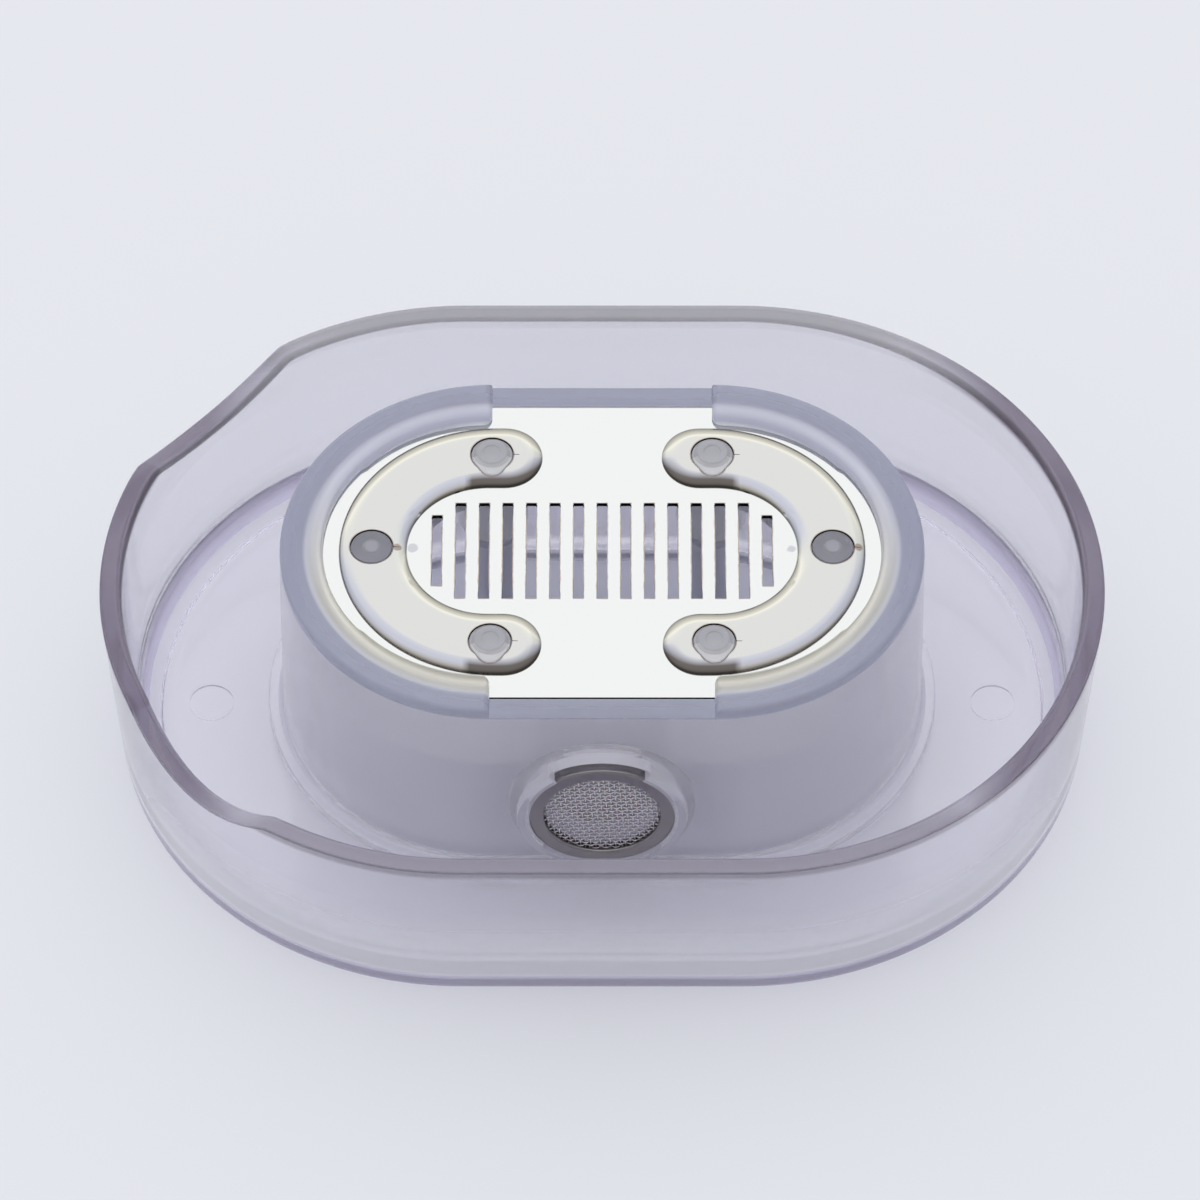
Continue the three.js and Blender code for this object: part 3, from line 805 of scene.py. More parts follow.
@dataclass(frozen=True)
class MilkyPlastic(TonedPlastic):
    """Natural polypropylene: milky, its staked heads painted greyer as painted shade, with a pale
    painted highlight in a crescent at each toe.

    The two end pins are painted darkest as painted shade, with a paler spot where the gate was cut.

    Attributes:
        head_from: Height above which the heads and pins are toned, in millimetres.
        head_y: Distance of the heads from the middle along Y.
        head_back: How far a button's middle lies behind its head's.
        head_reach: The button's radius, outside which the crescent starts.
        pin_from: Distance from the middle past which it is an end pin.
    """

    haze: str = "#F4F4F6"
    clarity: float = 0.6
    roughness: float = 0.35
    # painted shade on the heads and pins, and a painted highlight in a crescent at each toe
    head_painted_shade: str = "#DADADF"
    toe_painted_highlight: str = "#FFFFFF"
    pin_painted_shade: str = "#8C8C93"
    spot_tint: str = "#B4B4BA"
    head_from: float = 33.6
    head_y: float = 15.325
    head_back: float = 0.15
    head_reach: float = 2.0
    pin_from: float = 22.0
    pin_x: float = 29.575
    spot_reach: float = 1.0
    spot_blur: float = 0.3
    head_blur: float = 0.1
    crescent_y: float = -0.5

    def skin(self, tree: Tree, place: Socket) -> tuple:
        """Gives the haze's colour and the clarity: painted shade on the heads and pins, a painted
        highlight at each toe.
        """
        split = add_node(tree, "SeparateXYZ", {"Vector": place})
        aside = add_node(tree, "Math", {0: split.outputs["X"]}, operation="ABSOLUTE")
        side = add_node(tree, "Math", {0: split.outputs["Y"]}, operation="SIGN")
        along = add_node(tree, "Math", {
            0: side.outputs[0], 1: -self.head_y * MM, 2: split.outputs["Y"]},
            operation="MULTIPLY_ADD")
        places = []
        for x, y, middle_x, middle_y in (
                (aside.outputs[0], along.outputs[0], self.half_straight, self.head_back),
                (aside.outputs[0], split.outputs["Y"], self.pin_x, 0.0)):
            point = add_node(tree, "CombineXYZ", {"X": x, "Y": y})
            away = add_node(tree, "VectorMath", {
                0: point.outputs[0], 1: (middle_x * MM, middle_y * MM, 0)}, operation="DISTANCE")
            places.append(away.outputs["Value"])
        toe = add_node(tree, "MapRange", {
            "Value": places[0], "From Min": (self.head_reach - self.head_blur) * MM,
            "From Max": (self.head_reach + self.head_blur) * MM})
        ahead = add_node(tree, "Math", {0: along.outputs[0], 1: self.crescent_y * MM},
                         operation="LESS_THAN")
        crescent = add_node(tree, "Math", {0: toe.outputs["Result"], 1: ahead.outputs[0]},
                            operation="MULTIPLY")
        spot = add_node(tree, "MapRange", {
            "Value": places[1], "From Min": (self.spot_reach - self.spot_blur) * MM,
            "From Max": (self.spot_reach + self.spot_blur) * MM, "To Min": 1.0, "To Max": 0.0})
        pin = add_node(tree, "Math", {0: aside.outputs[0], 1: self.pin_from * MM},
                       operation="GREATER_THAN")
        above = add_node(tree, "Math", {0: split.outputs["Z"], 1: self.head_from * MM},
                         operation="GREATER_THAN")
        head = add_node(tree, "Mix", {
            "Factor": crescent.outputs[0], 6: linear_colour(self.head_painted_shade),
            7: linear_colour(self.toe_painted_highlight)}, data_type="RGBA")
        end = add_node(tree, "Mix", {
            "Factor": spot.outputs["Result"], 6: linear_colour(self.pin_painted_shade),
            7: linear_colour(self.spot_tint)}, data_type="RGBA")
        tip = add_node(tree, "Mix", {
            "Factor": pin.outputs[0], 6: head.outputs[2], 7: end.outputs[2]}, data_type="RGBA")
        colour = add_node(tree, "Mix", {
            "Factor": above.outputs[0], 6: linear_colour(self.haze), 7: tip.outputs[2]},
            data_type="RGBA")
        return colour.outputs[2], self.clarity


@dataclass(frozen=True)
class PolishedStainless:
    """Stainless sheet, pressed, laser cut and polished.

    The eye sees soft bright reflections, slightly wavy over the pressings, a brown heat tint along
    every cut edge, near-black cut walls of dark oxidised steel and painted shade, and a few fine
    scuffs. The ribs carry painted reflections that follow the lean of their surface, painted shade
    round their roots and a dark painted reflection on the front shoulders of their arms.

    Attributes:
        name: The material's name.
        colour: Colour of the bare steel.
        rib_painted_reflections: Painted reflections on the ribs, from where they lean forward to
            where they lean back.
        root_painted_shade: Painted shade along the thin line round a rib's root.
        arm_painted_reflection: Dark painted reflection on the front shoulders of a rib's arms.
        arm_reach: Distance from the middle between which that colour grows to its full share.
        scuff: Colour of the rough spot at the middle of each rib's inner side.
        scuff_place: The spot's distance from the middle, and its place along Y.
        scorch_place: Distance from the middle of the scorched spot right of the right end pin.
        scorch_shift: How far the two scorched spots lie right of the pins' own symmetry.
        mark_share: How much of its own colour a spot has.
        heat_tint: Colour that the laser's heat left beside the cuts.
        oxidised_wall_and_shade: Near-black of the cut walls, dark oxidised steel and painted shade.
        tint_reach: How far the heat tint reaches, in millimetres.
        slot_pitch: Distance between the slots' middles.
        slot_half: Half a slot's width.
        slot_end: Half its length.
        end_slot_end: Half the length of the first and the last slot.
        slots_reach: Distance from the middle to the gap between the last two slots.
        hole_x: Distance of the corner holes from the middle, along X.
        hole_y: The same along Y.
        hole_radius: Radius of the holes.
        toe_radius: Radius of a corner hole's toe.
        toe_drop: How far the toe's middle lies in front of the hole's.
        end_hole_x: Distance of the end holes from the middle.
    """

    name: str = "polished stainless sheet"
    colour: str = "#CDCECC"
    # painted reflections on the ribs, grey where they lean forward and cream where they lean back
    rib_painted_reflections: tuple[tuple[float, str], ...] = (
        (0.0, "#A39E96"), (0.2, "#ACACB2"), (0.34, "#A9AAB4"), (0.44, "#B0B1B8"),
        (0.49, "#BCBCBA"), (0.53, "#C3C2BB"), (0.57, "#D0CEC3"), (0.64, "#B5B2A6"),
        (1.0, "#9A968B"))
    rib_leans: tuple[float, float] = (-0.5, 0.5)
    root_painted_shade: str = "#6F655A"
    root_heights: tuple[float, float] = (33.66, 33.86)
    arm_painted_reflection: str = "#605B57"
    arm_reach: tuple[float, float] = (17.8, 16.8)
    arm_leans: tuple[float, float] = (-0.01, -0.24)
    scuff: str = "#9C9CA4"
    scuff_place: tuple[float, float] = (24.3, 0.35)
    scuff_reach: float = 0.9
    scorch_place: float = 32.9
    scorch_shift: float = 3.3
    scorch_reach: float = 0.75
    mark_share: float = 0.6
    root_share: float = 0.7
    tint_share: float = 0.7
    wall_roughness: float = 0.6
    heat_tint: str = "#6E4E34"
    oxidised_wall_and_shade: str = "#171416"
    tint_reach: float = 0.16
    slot_pitch: float = 3.03
    slot_half: float = 0.64
    slot_end: float = 7.83
    end_slot_end: float = 5.8
    slots_reach: float = 19.7
    hole_x: float = 14.25
    hole_y: float = 15.325
    hole_radius: float = 2.8
    toe_radius: float = 1.75
    toe_drop: float = 1.83
    end_hole_x: float = 29.575

    def folded(self, tree: Tree, value: Socket, shift: float, fold: float) -> Socket:
        """Measures a coordinate from a pair of places that lie either side of the middle.

        Args:
            tree: The material's node tree.
            value: The coordinate, in metres.
            shift: What is added to it first, in millimetres.
            fold: Distance of each place from the middle, in millimetres.

        Returns:
            The distance from the nearer place, in metres.
        """
        moved = add_node(tree, "Math", {0: value, 1: shift * MM}, operation="ADD")
        size = add_node(tree, "Math", {0: moved.outputs[0]}, operation="ABSOLUTE")
        return add_node(tree, "Math", {0: size.outputs[0], 1: fold * MM},
                        operation="SUBTRACT").outputs[0]

    def round_edge(self, tree: Tree, x: Socket, y: Socket, radius: float) -> Socket:
        """Gives how far a point lies outside a circle, in metres.

        Args:
            tree: The material's node tree.
            x: Its distance from the circle's middle along X.
            y: Its distance along Y.
            radius: The circle's radius, in millimetres.

        Returns:
            The distance, negative inside.
        """
        spoke = add_node(tree, "CombineXYZ", {"X": x, "Y": y})
        length = add_node(tree, "VectorMath", {0: spoke.outputs[0]}, operation="LENGTH")
        return add_node(tree, "Math", {
            0: length.outputs["Value"], 1: radius * MM}, operation="SUBTRACT").outputs[0]

    def slot_edge(self, tree: Tree, x: Socket, y: Socket) -> Socket:
        """Gives how far a point lies outside the nearest slot, in metres.

        Args:
            tree: The material's node tree.
            x: Its place along X.
            y: Its place along Y.

        Returns:
            The distance, negative inside.
        """
        half_pitch = self.slot_pitch / 2 * MM
        near = add_node(tree, "Math", {0: x, 1: half_pitch, 2: -half_pitch}, operation="WRAP")
        aside = self.folded(tree, near.outputs[0], 0.0, self.slot_half)
        last = add_node(tree, "Math", {
            0: self.folded(tree, x, 0.0, self.slots_reach), 1: 0.0}, operation="GREATER_THAN")
        end = add_node(tree, "MapRange", {
            "Value": last.outputs[0], "To Min": self.slot_end * MM,
            "To Max": self.end_slot_end * MM})
        along = add_node(tree, "Math", {
            0: self.folded(tree, y, 0.0, 0.0), 1: end.outputs["Result"]}, operation="SUBTRACT")
        beyond = self.folded(tree, x, 0.0, (self.slots_reach + self.slot_pitch))
        edge = add_node(tree, "Math", {0: aside, 1: along.outputs[0]}, operation="MAXIMUM")
        return add_node(tree, "Math", {0: edge.outputs[0], 1: beyond},
                        operation="MAXIMUM").outputs[0]

    def cut_edge(self, tree: Tree, place: Socket) -> Socket:
        """Gives how far a point of the sheet lies from the nearest cut, in metres.

        Args:
            tree: The material's node tree.
            place: Object coordinates.

        Returns:
            The distance.
        """
        split = add_node(tree, "SeparateXYZ", {"Vector": place})
        x, y = split.outputs["X"], split.outputs["Y"]
        edges = [
            self.slot_edge(tree, x, y),
            self.round_edge(tree, self.folded(tree, x, 0.0, self.hole_x),
                            self.folded(tree, y, 0.0, self.hole_y), self.hole_radius),
            self.round_edge(tree, self.folded(tree, x, 0.0, self.hole_x),
                            self.folded(tree, y, self.toe_drop, self.hole_y), self.toe_radius),
            self.round_edge(tree, self.folded(tree, x, 0.0, self.end_hole_x), y, self.hole_radius),
        ]
        nearest = edges[0]
        for edge in edges[1:]:
            nearest = add_node(tree, "Math", {0: nearest, 1: edge}, operation="MINIMUM").outputs[0]
        return nearest

    def paint_rib_reflections(self, tree: Tree, place: Socket, lean: Socket) -> Socket:
        """Paints reflections on the ribs by the way their surface leans, grey in front and cream
        behind, with painted shade round their roots and a dark painted reflection on their arms.

        Args:
            tree: The material's node tree.
            place: Object coordinates.
            lean: How far the surface leans back, as the normal's part along Y.

        Returns:
            The sheet's colour, with the ribs' painted reflections and shade.
        """
        split = add_node(tree, "SeparateXYZ", {"Vector": place})
        aside = add_node(tree, "Math", {0: split.outputs["X"]}, operation="ABSOLUTE")
        # painted reflections: the ribs' colour follows the lean of their surface
        turn = add_node(tree, "MapRange", {
            "Value": lean, "From Min": self.rib_leans[0], "From Max": self.rib_leans[1]})
        tones = add_node(tree, "ValToRGB", {"Fac": turn.outputs["Result"]})
        lay_stops(tones, self.rib_painted_reflections)
        # a dark painted reflection on the front shoulders of the ribs' arms
        forward = add_node(tree, "MapRange", {
            "Value": lean, "From Min": self.arm_leans[0], "From Max": self.arm_leans[1]})
        near = add_node(tree, "MapRange", {
            "Value": aside.outputs[0], "From Min": self.arm_reach[0] * MM,
            "From Max": self.arm_reach[1] * MM})
        arm = add_node(tree, "Math", {
            0: forward.outputs["Result"], 1: near.outputs["Result"]}, operation="MULTIPLY")
        # painted shade along the crease round each rib's root
        root = add_node(tree, "MapRange", {
            "Value": split.outputs["Z"], "From Min": self.root_heights[0] * MM,
            "From Max": self.root_heights[1] * MM, "To Min": self.root_share, "To Max": 0.0})
        sheet = add_node(tree, "Math", {
            0: split.outputs["Z"], 1: self.root_heights[0] * MM}, operation="LESS_THAN")
        colour = tones.outputs["Color"]
        for share, tone in ((arm.outputs[0], self.arm_painted_reflection), (root.outputs[0], self.root_painted_shade),
                            (sheet.outputs[0], self.colour)):
            colour = add_node(tree, "Mix", {
                "Factor": share, 6: colour, 7: linear_colour(tone)}, data_type="RGBA").outputs[2]
        return colour

    def marks(self, tree: Tree, place: Socket, blotch: Socket, colour: Socket) -> Socket:
        """Adds the rough spots inside the ribs and the scorched spots beside the end pins.

        Args:
            tree: The material's node tree.
            place: Object coordinates.
            blotch: A noise that breaks up their outlines.
            colour: The colour without them.

        Returns:
            The colour with them.
        """
        split = add_node(tree, "SeparateXYZ", {"Vector": place})
        across, height = self.scuff_place
        scorch = self.scorch_place - self.scorch_shift
        for x, y, reach, tone in (
                (self.folded(tree, split.outputs["X"], 0.0, across), height, self.scuff_reach,
                 self.scuff),
                (self.folded(tree, split.outputs["X"], -self.scorch_shift, scorch), 0.0,
                 self.scorch_reach, self.heat_tint)):
            point = add_node(tree, "CombineXYZ", {"X": x, "Y": split.outputs["Y"]})
            away = add_node(tree, "VectorMath", {0: point.outputs[0], 1: (0, y * MM, 0)},
                            operation="DISTANCE")
            ragged = add_node(tree, "Math", {
                0: blotch, 1: reach * MM, 2: away.outputs["Value"]}, operation="MULTIPLY_ADD")
            share = add_node(tree, "MapRange", {
                "Value": ragged.outputs[0], "From Min": 1.05 * reach * MM,
                "From Max": 1.35 * reach * MM, "To Min": self.mark_share, "To Max": 0.0})
            colour = add_node(tree, "Mix", {
                "Factor": share.outputs["Result"], 6: colour, 7: linear_colour(tone)},
                data_type="RGBA").outputs[2]
        return colour

    def material(self) -> bpy.types.Material:
        """Builds the material."""
        material, tree = new_material(self.name)
        coordinates = add_node(tree, "TexCoord")
        place = coordinates.outputs["Object"]
        wave = add_node(tree, "TexNoise", {
            "Vector": place, "Scale": pattern_scale(14.0), "Detail": 1.0})
        bump = add_node(tree, "Bump", {
            "Height": wave.outputs["Fac"], "Strength": 0.12, "Distance": 0.3 * MM})
        blotch = add_node(tree, "TexNoise", {
            "Vector": place, "Scale": pattern_scale(1.5), "Detail": 2.0})
        reach = add_node(tree, "MapRange", {
            "Value": blotch.outputs["Fac"], "From Min": 0.35, "From Max": 0.7,
            "To Min": 0.7 * self.tint_reach * MM, "To Max": 1.5 * self.tint_reach * MM})
        tint = add_node(tree, "MapRange", {
            "Value": self.cut_edge(tree, place), "From Min": 0.0,
            "From Max": reach.outputs["Result"], "To Min": self.tint_share, "To Max": 0.0},
            interpolation_type="SMOOTHSTEP")
        lean = add_node(tree, "SeparateXYZ", {"Vector": coordinates.outputs["Normal"]})
        # the sheet with the ribs' painted reflections and shade
        toned = self.paint_rib_reflections(tree, place, lean.outputs["Y"])
        marked = self.marks(tree, place, blotch.outputs["Fac"], toned)
        tinted = add_node(tree, "Mix", {
            "Factor": tint.outputs["Result"], 6: marked, 7: linear_colour(self.heat_tint)},
            data_type="RGBA")
        # the cut walls near-black: dark oxidised steel and painted shade
        level = add_node(tree, "Math", {0: lean.outputs["Z"]}, operation="ABSOLUTE")
        wall = add_node(tree, "Math", {0: level.outputs[0], 1: 0.1}, operation="LESS_THAN")
        colour = add_node(tree, "Mix", {
            "Factor": wall.outputs[0], 6: tinted.outputs[2], 7: linear_colour(self.oxidised_wall_and_shade)},
            data_type="RGBA")
        scratch = add_node(tree, "TexNoise", {
            "Vector": place, "Scale": pattern_scale(0.7), "Detail": 4.0})
        polish = add_node(tree, "MapRange", {
            "Value": scratch.outputs["Fac"], "To Min": 0.1, "To Max": 0.2})
        roughness = add_node(tree, "Mix", {
            "Factor": wall.outputs[0], "A": polish.outputs["Result"], "B": self.wall_roughness},
            data_type="FLOAT")
        shader = add_node(tree, "BsdfPrincipled", {
            "Base Color": colour.outputs[2], "Metallic": 1.0,
            "Roughness": roughness.outputs["Result"], "Normal": bump.outputs["Normal"]})
        add_node(tree, "OutputMaterial", {"Surface": shader.outputs["BSDF"]})
        return material


@dataclass(frozen=True)
class DrawnSteel:
    """Bare stainless wire or strip, drawn or rolled and left bright."""

    name: str
    colour: str
    roughness: float
    grain_size: float = 0.2

    def material(self) -> bpy.types.Material:
        """Builds the material."""
        material, tree = new_material(self.name)
        place = add_node(tree, "TexCoord").outputs["Object"]
        grain = add_node(tree, "TexNoise", {
            "Vector": place, "Scale": pattern_scale(self.grain_size), "Detail": 2.0})
        roughness = add_node(tree, "MapRange", {
            "Value": grain.outputs["Fac"], "To Min": self.roughness * 0.7,
            "To Max": self.roughness * 1.3})
        shader = add_node(tree, "BsdfPrincipled", {
            "Base Color": linear_colour(self.colour), "Metallic": 1.0,
            "Roughness": roughness.outputs["Result"]})
        add_node(tree, "OutputMaterial", {"Surface": shader.outputs["BSDF"]})
        return material


@dataclass(frozen=True)
class MattFinish:
    """An even, matt surface with a fine grain.

    Attributes:
        name: The material's name.
        colour: Its colour.
        roughness: Its roughness.
        grain_size: Size of a grain, in millimetres.
        detail: How finely a grain is broken up.
        strength: How strongly the grain shows.
    """

    name: str
    colour: str
    roughness: float
    grain_size: float
    detail: float
    strength: float

    def body(self) -> dict[str, float]:
        """Gives the shader's other settings."""
        return {}

    def material(self) -> bpy.types.Material:
        """Builds the material."""
        material, tree = new_material(self.name)
        place = add_node(tree, "TexCoord").outputs["Object"]
        grain = add_node(tree, "TexNoise", {
            "Vector": place, "Scale": pattern_scale(self.grain_size), "Detail": self.detail})
        bump = add_node(tree, "Bump", {
            "Height": grain.outputs["Fac"], "Strength": self.strength, "Distance": 0.05 * MM})
        shader = add_node(tree, "BsdfPrincipled", {
            "Base Color": linear_colour(self.colour), "Roughness": self.roughness,
            "Normal": bump.outputs["Normal"], **self.body()})
        add_node(tree, "OutputMaterial", {"Surface": shader.outputs["BSDF"]})
        return material


class Silicone(MattFinish):
    """Silicone rubber, moulded and slightly powdery: soft, milky and without hard highlights."""

    def body(self) -> dict[str, float]:
        """Gives the shader's other settings: light sinks in a little."""
        return {"IOR": 1.41, "Subsurface Weight": 0.4, "Subsurface Scale": 1.0 * MM}


class Paper(MattFinish):
    """Matt photographer's paper: even, pale and very slightly fibrous."""

    def body(self) -> dict[str, float]:
        """Gives the shader's other settings: hardly any gloss."""
        return {"Specular IOR Level": 0.2}


@dataclass
class Studio:
    """The paper, the soft lights and the camera of the photograph.

    Attributes:
        elevation: The camera's height above the horizon, in degrees.
        distance: How far it stands from the basin's middle on the paper, in millimetres.
        lens: Its focal length on a 36 mm frame.
        middle_right: How far right of the frame's middle the basin's lies, in pixels of 1200.
        middle_below: How far below the frame's middle it lies.
    """

    elevation: float = 52.4
    distance: float = 1052.6
    lens: float = 240.0
    middle_right: float = 3.4
    middle_below: float = 110.7
    frame_pixels: float = 1200.0
    sensor: float = 36.0
    paper_size: float = 6000.0
    paper_drop: float = 0.02
    light_side: tuple[float, float, float] = (-0.08, 0.45, 0.85)
    dim_at: float = -0.1
    bright_at: float = 0.95
    dim_strength: float = 0.32
    bright_strength: float = 1.36
    softbox_place: tuple[float, float, float] = (-400, 1500, 2100)
    softbox_size: float = 2400
    softbox_power: float = 3.0

    def set_up(self) -> None:
        """Lays the paper, hangs the lights and places the camera."""
        self.lay_paper()
        self.place_camera()
        self.fill_with_light()
        self.hang_softbox("softbox_rear", Vector(self.softbox_place), "#FFFFFF")
        bpy.context.scene.view_settings.view_transform = "Standard"

    def lay_paper(self) -> None:
        """Lays the paper just under the standing ring."""
        deselect_all()
        bpy.ops.mesh.primitive_plane_add(size=self.paper_size * MM)
        paper = bpy.context.object
        paper.name = "background_paper"
        bpy.ops.object.mode_set(mode="EDIT")
        bpy.ops.mesh.subdivide(number_cuts=3)
        bpy.ops.transform.translate(value=(0, 0, -self.paper_drop * MM))
        bpy.ops.object.mode_set(mode="OBJECT")
        finish = Paper("white background paper", "#E7E8ED", 0.9, 1.2, 3.0, 0.05)
        paper.data.materials.append(finish.material())

    def place_camera(self) -> None:
        """Puts the camera at the photograph's angle."""
        data = bpy.data.cameras.new("camera")
        data.lens = self.lens
        data.sensor_width = self.sensor
        data.clip_start = 0.05
        data.clip_end = 20
        camera = bpy.data.objects.new("camera", data)
        bpy.context.scene.collection.objects.link(camera)
        pixels_per_slope = self.lens / self.sensor * self.frame_pixels
        up = math.atan(self.middle_below / pixels_per_slope)
        right = math.atan(self.middle_right / pixels_per_slope)
        elevation = math.radians(self.elevation)
        back = Vector((0, -math.cos(elevation), math.sin(elevation)))
        camera.location = back * self.distance * MM
        camera.rotation_euler = (math.pi / 2 - elevation + up, 0, right)
        bpy.context.scene.camera = camera

    def fill_with_light(self) -> None:
        """Fills the room with soft light: bright overhead and behind, dim on the camera's side."""
        world = bpy.data.worlds.new("soft room")
        world.use_nodes = True
        tree = world.node_tree
        tree.nodes.clear()
        direction = add_node(tree, "TexCoord").outputs["Generated"]
        towards_light = add_node(tree, "VectorMath", {
            0: direction, 1: self.light_side}, operation="DOT_PRODUCT")
        strength = add_node(tree, "MapRange", {
            "Value": towards_light.outputs["Value"], "From Min": self.dim_at,
            "From Max": self.bright_at, "To Min": self.dim_strength,
            "To Max": self.bright_strength},
            interpolation_type="SMOOTHSTEP")
        background = add_node(tree, "Background", {
            "Color": linear_colour("#F9FAFC"), "Strength": strength.outputs["Result"]})
        add_node(tree, "OutputWorld", {"Surface": background.outputs["Background"]})
        bpy.context.scene.world = world

    def hang_softbox(self, name: str, place: Vector, colour: str) -> None:
        """Hangs a square lamp aimed at the basin.

        Args:
            name: What the lamp is called.
            place: Where it hangs, in millimetres.
            colour: Its colour.
        """
        data = bpy.data.lights.new(name, "AREA")
        data.shape = "SQUARE"
        data.size = self.softbox_size * MM
        data.energy = self.softbox_power
        data.color = linear_colour(colour)[:3]
        lamp = bpy.data.objects.new(name, data)
        bpy.context.scene.collection.objects.link(lamp)
        lamp.location = place * MM
        lamp.rotation_euler = place.to_track_quat("Z", "Y").to_euler()


@dataclass
class Basin:
    """The clear tray: a racetrack wall with two pour dips, on a standing ring."""

    length: float = 129.6
    width: float = 93.7
    height: float = 27.4
    draft: float = 1.75
    wall: float = 2.8
    floor: float = 3.0
    fillet: float = 5.0
    rim_round: float = 1.0
    rim_edge: float = 0.3
    base_round: float = 1.2
    ring_width: float = 3.2
    ring_depth: float = 0.6
    dip_depth: float = 4.25
    dip_degrees: float = 42.4
    dip_reach_away: float = 12.9
    dip_reach_end: float = 14.8
    dip_shoulder: float = 0.35
    locator_outer: float = 23.8
    locator_wall: float = 0.9
    locator_rise: float = 1.4
    column_radius: float = 3.5
    column_top: float = 19.35
    column_core: float = 1.6
    post_x: float = 14.25
    post_y: float = 15.325
    mark_radius: float = 2.9
    mark_depth: float = 0.3
    mark_x: float = 51.3

    def __post_init__(self) -> None:
        """Works out the path and the radii."""
        self.track = Track((self.length - self.width) / 2)
        self.rim_radius = self.width / 2
        self.base_radius = self.rim_radius - self.draft

    def outer_radius(self, z: float) -> float:
        """Gives the wall's outside radius at a height."""
        return self.base_radius + self.draft * z / self.height

    def section(self) -> list[Corner]:
        """Gives the section from under the middle, up the outside and down the inside."""
        ring_outer = self.base_radius - self.base_round
        ring_inner = ring_outer - self.ring_width
        return [
            Corner(0, self.ring_depth), Corner(ring_inner - self.ring_depth, self.ring_depth, 0.4),
            Corner(ring_inner, 0, 0.2), Corner(self.base_radius, 0, self.base_round),
            Corner(self.rim_radius, self.height, self.rim_edge),
            Corner(self.rim_radius - self.wall, self.height, self.rim_round),
            Corner(self.outer_radius(self.floor) - self.wall, self.floor, self.fillet),
            Corner(0, self.floor),
        ]

    def drop(self, from_left_end: float) -> float:
        """Gives how far the rim is lowered at an angle, in degrees from the left end's middle."""
        along = math.radians(from_left_end - self.dip_degrees) * self.rim_radius
        reach = self.dip_reach_away if along > 0 else self.dip_reach_end
        scoop = self.dip_depth * (1 - (along / reach) ** 2)
        if scoop < -4 * self.dip_shoulder:
            return 0.0
        return (scoop + math.hypot(scoop, self.dip_shoulder)) / 2

    def lower_rim(self, tray: Workpiece) -> None:
        """Scoops the two dips: each column of the rim slides down along the drafted wall."""
        middle = -self.track.half_straight
        step = math.pi / self.track.steps
        with tray.editing():
            for i in range(1, self.track.steps):
                angle = math.pi / 2 + i * step
                drop = self.drop(abs(math.degrees(math.pi - angle)))
                if drop < MERGE:
                    continue
                spoke = Vector((math.cos(angle), math.sin(angle), 0))
                aside = Vector((-spoke.y, spoke.x, 0))
                hub = Vector((middle, 0, 0))
                low = self.height - 2 * self.rim_round
                tray.select("VERT", lambda p: p.z > low and (p - hub).dot(spoke) > 0
                            and abs((p - hub).dot(aside)) < self.rim_radius * step / 3)
                lean = spoke * (drop * self.draft / self.height)
                bpy.ops.transform.translate(value=(Vector((0, 0, -drop)) - lean) * MM)

    def build(self, finish: TonedPlastic) -> Workpiece:
        """Models the tray.

        Args:
            finish: Its material.

        Returns:
            The finished piece.
        """
        tray = Workpiece.swept("clear_basin", self.track, self.section(), closed=False)
        self.lower_rim(tray)
        pump_track = Track(self.post_x)
        top = self.floor + self.locator_rise
        inner = self.locator_outer - self.locator_wall
        tray.combine(Workpiece.swept("locator_rib", pump_track, [
            Corner(inner, self.floor - 1), Corner(self.locator_outer, self.floor - 1),
            Corner(self.locator_outer, top, 0.3), Corner(inner, top, 0.3)]), Mode.JOIN)
        places = [(sx * self.post_x, sy * self.post_y, 0.0) for sx, sy in CORNERS]
        column = Workpiece.turned("columns", DrawingPlane.upright(), drum_outline(
            self.column_radius, self.floor - 1, self.column_top, 0.4), 48)
        column.repeated(places)
        tray.combine(column, Mode.JOIN)
        core_top = self.column_top - self.wall
        core = Workpiece.turned("cores", DrawingPlane.upright(), drum_outline(
            self.column_core, -1, core_top, 0.5), 32)
        core.repeated(places)
        mark_top = self.ring_depth + self.mark_depth
        mark = Workpiece.turned("marks", DrawingPlane.upright(), drum_outline(
            self.mark_radius, -1, mark_top), 48)
        mark.repeated([(side * self.mark_x, 0.0, 0.0) for side in (-1, 1)])
        core.join(mark)
        tray.combine(core, Mode.CUT)
        tray.place(BODY_STAND, "clear_plastic", finish.material(), "basin")
        return tray


def drum_outline(radius: float, low: float, high: float, high_round: float = 0.0,
                 low_round: float = 0.0) -> list[Corner]:
    """Gives a solid drum's section.

    Args:
        radius: The drum's radius.
        low: Where it starts along its axis.
        high: Where it ends.
        high_round: Rounding of its end's edge.
        low_round: Rounding of its start's edge.

    Returns:
        The section, from the axis and back to it.
    """
    return [Corner(0, low), Corner(radius, low, low_round), Corner(radius, high, high_round),
            Corner(0, high)]


def sector(radius: float, start: float, end: float, step: float = 4.0) -> list[Corner]:
    """Gives the outline of a sector about the origin between two angles in degrees."""
    count = round((end - start) / step)
    angles = [math.radians(start + (end - start) * i / count) for i in range(count + 1)]
    return [Corner(0, 0)] + [Corner(radius * math.cos(a), radius * math.sin(a)) for a in angles]


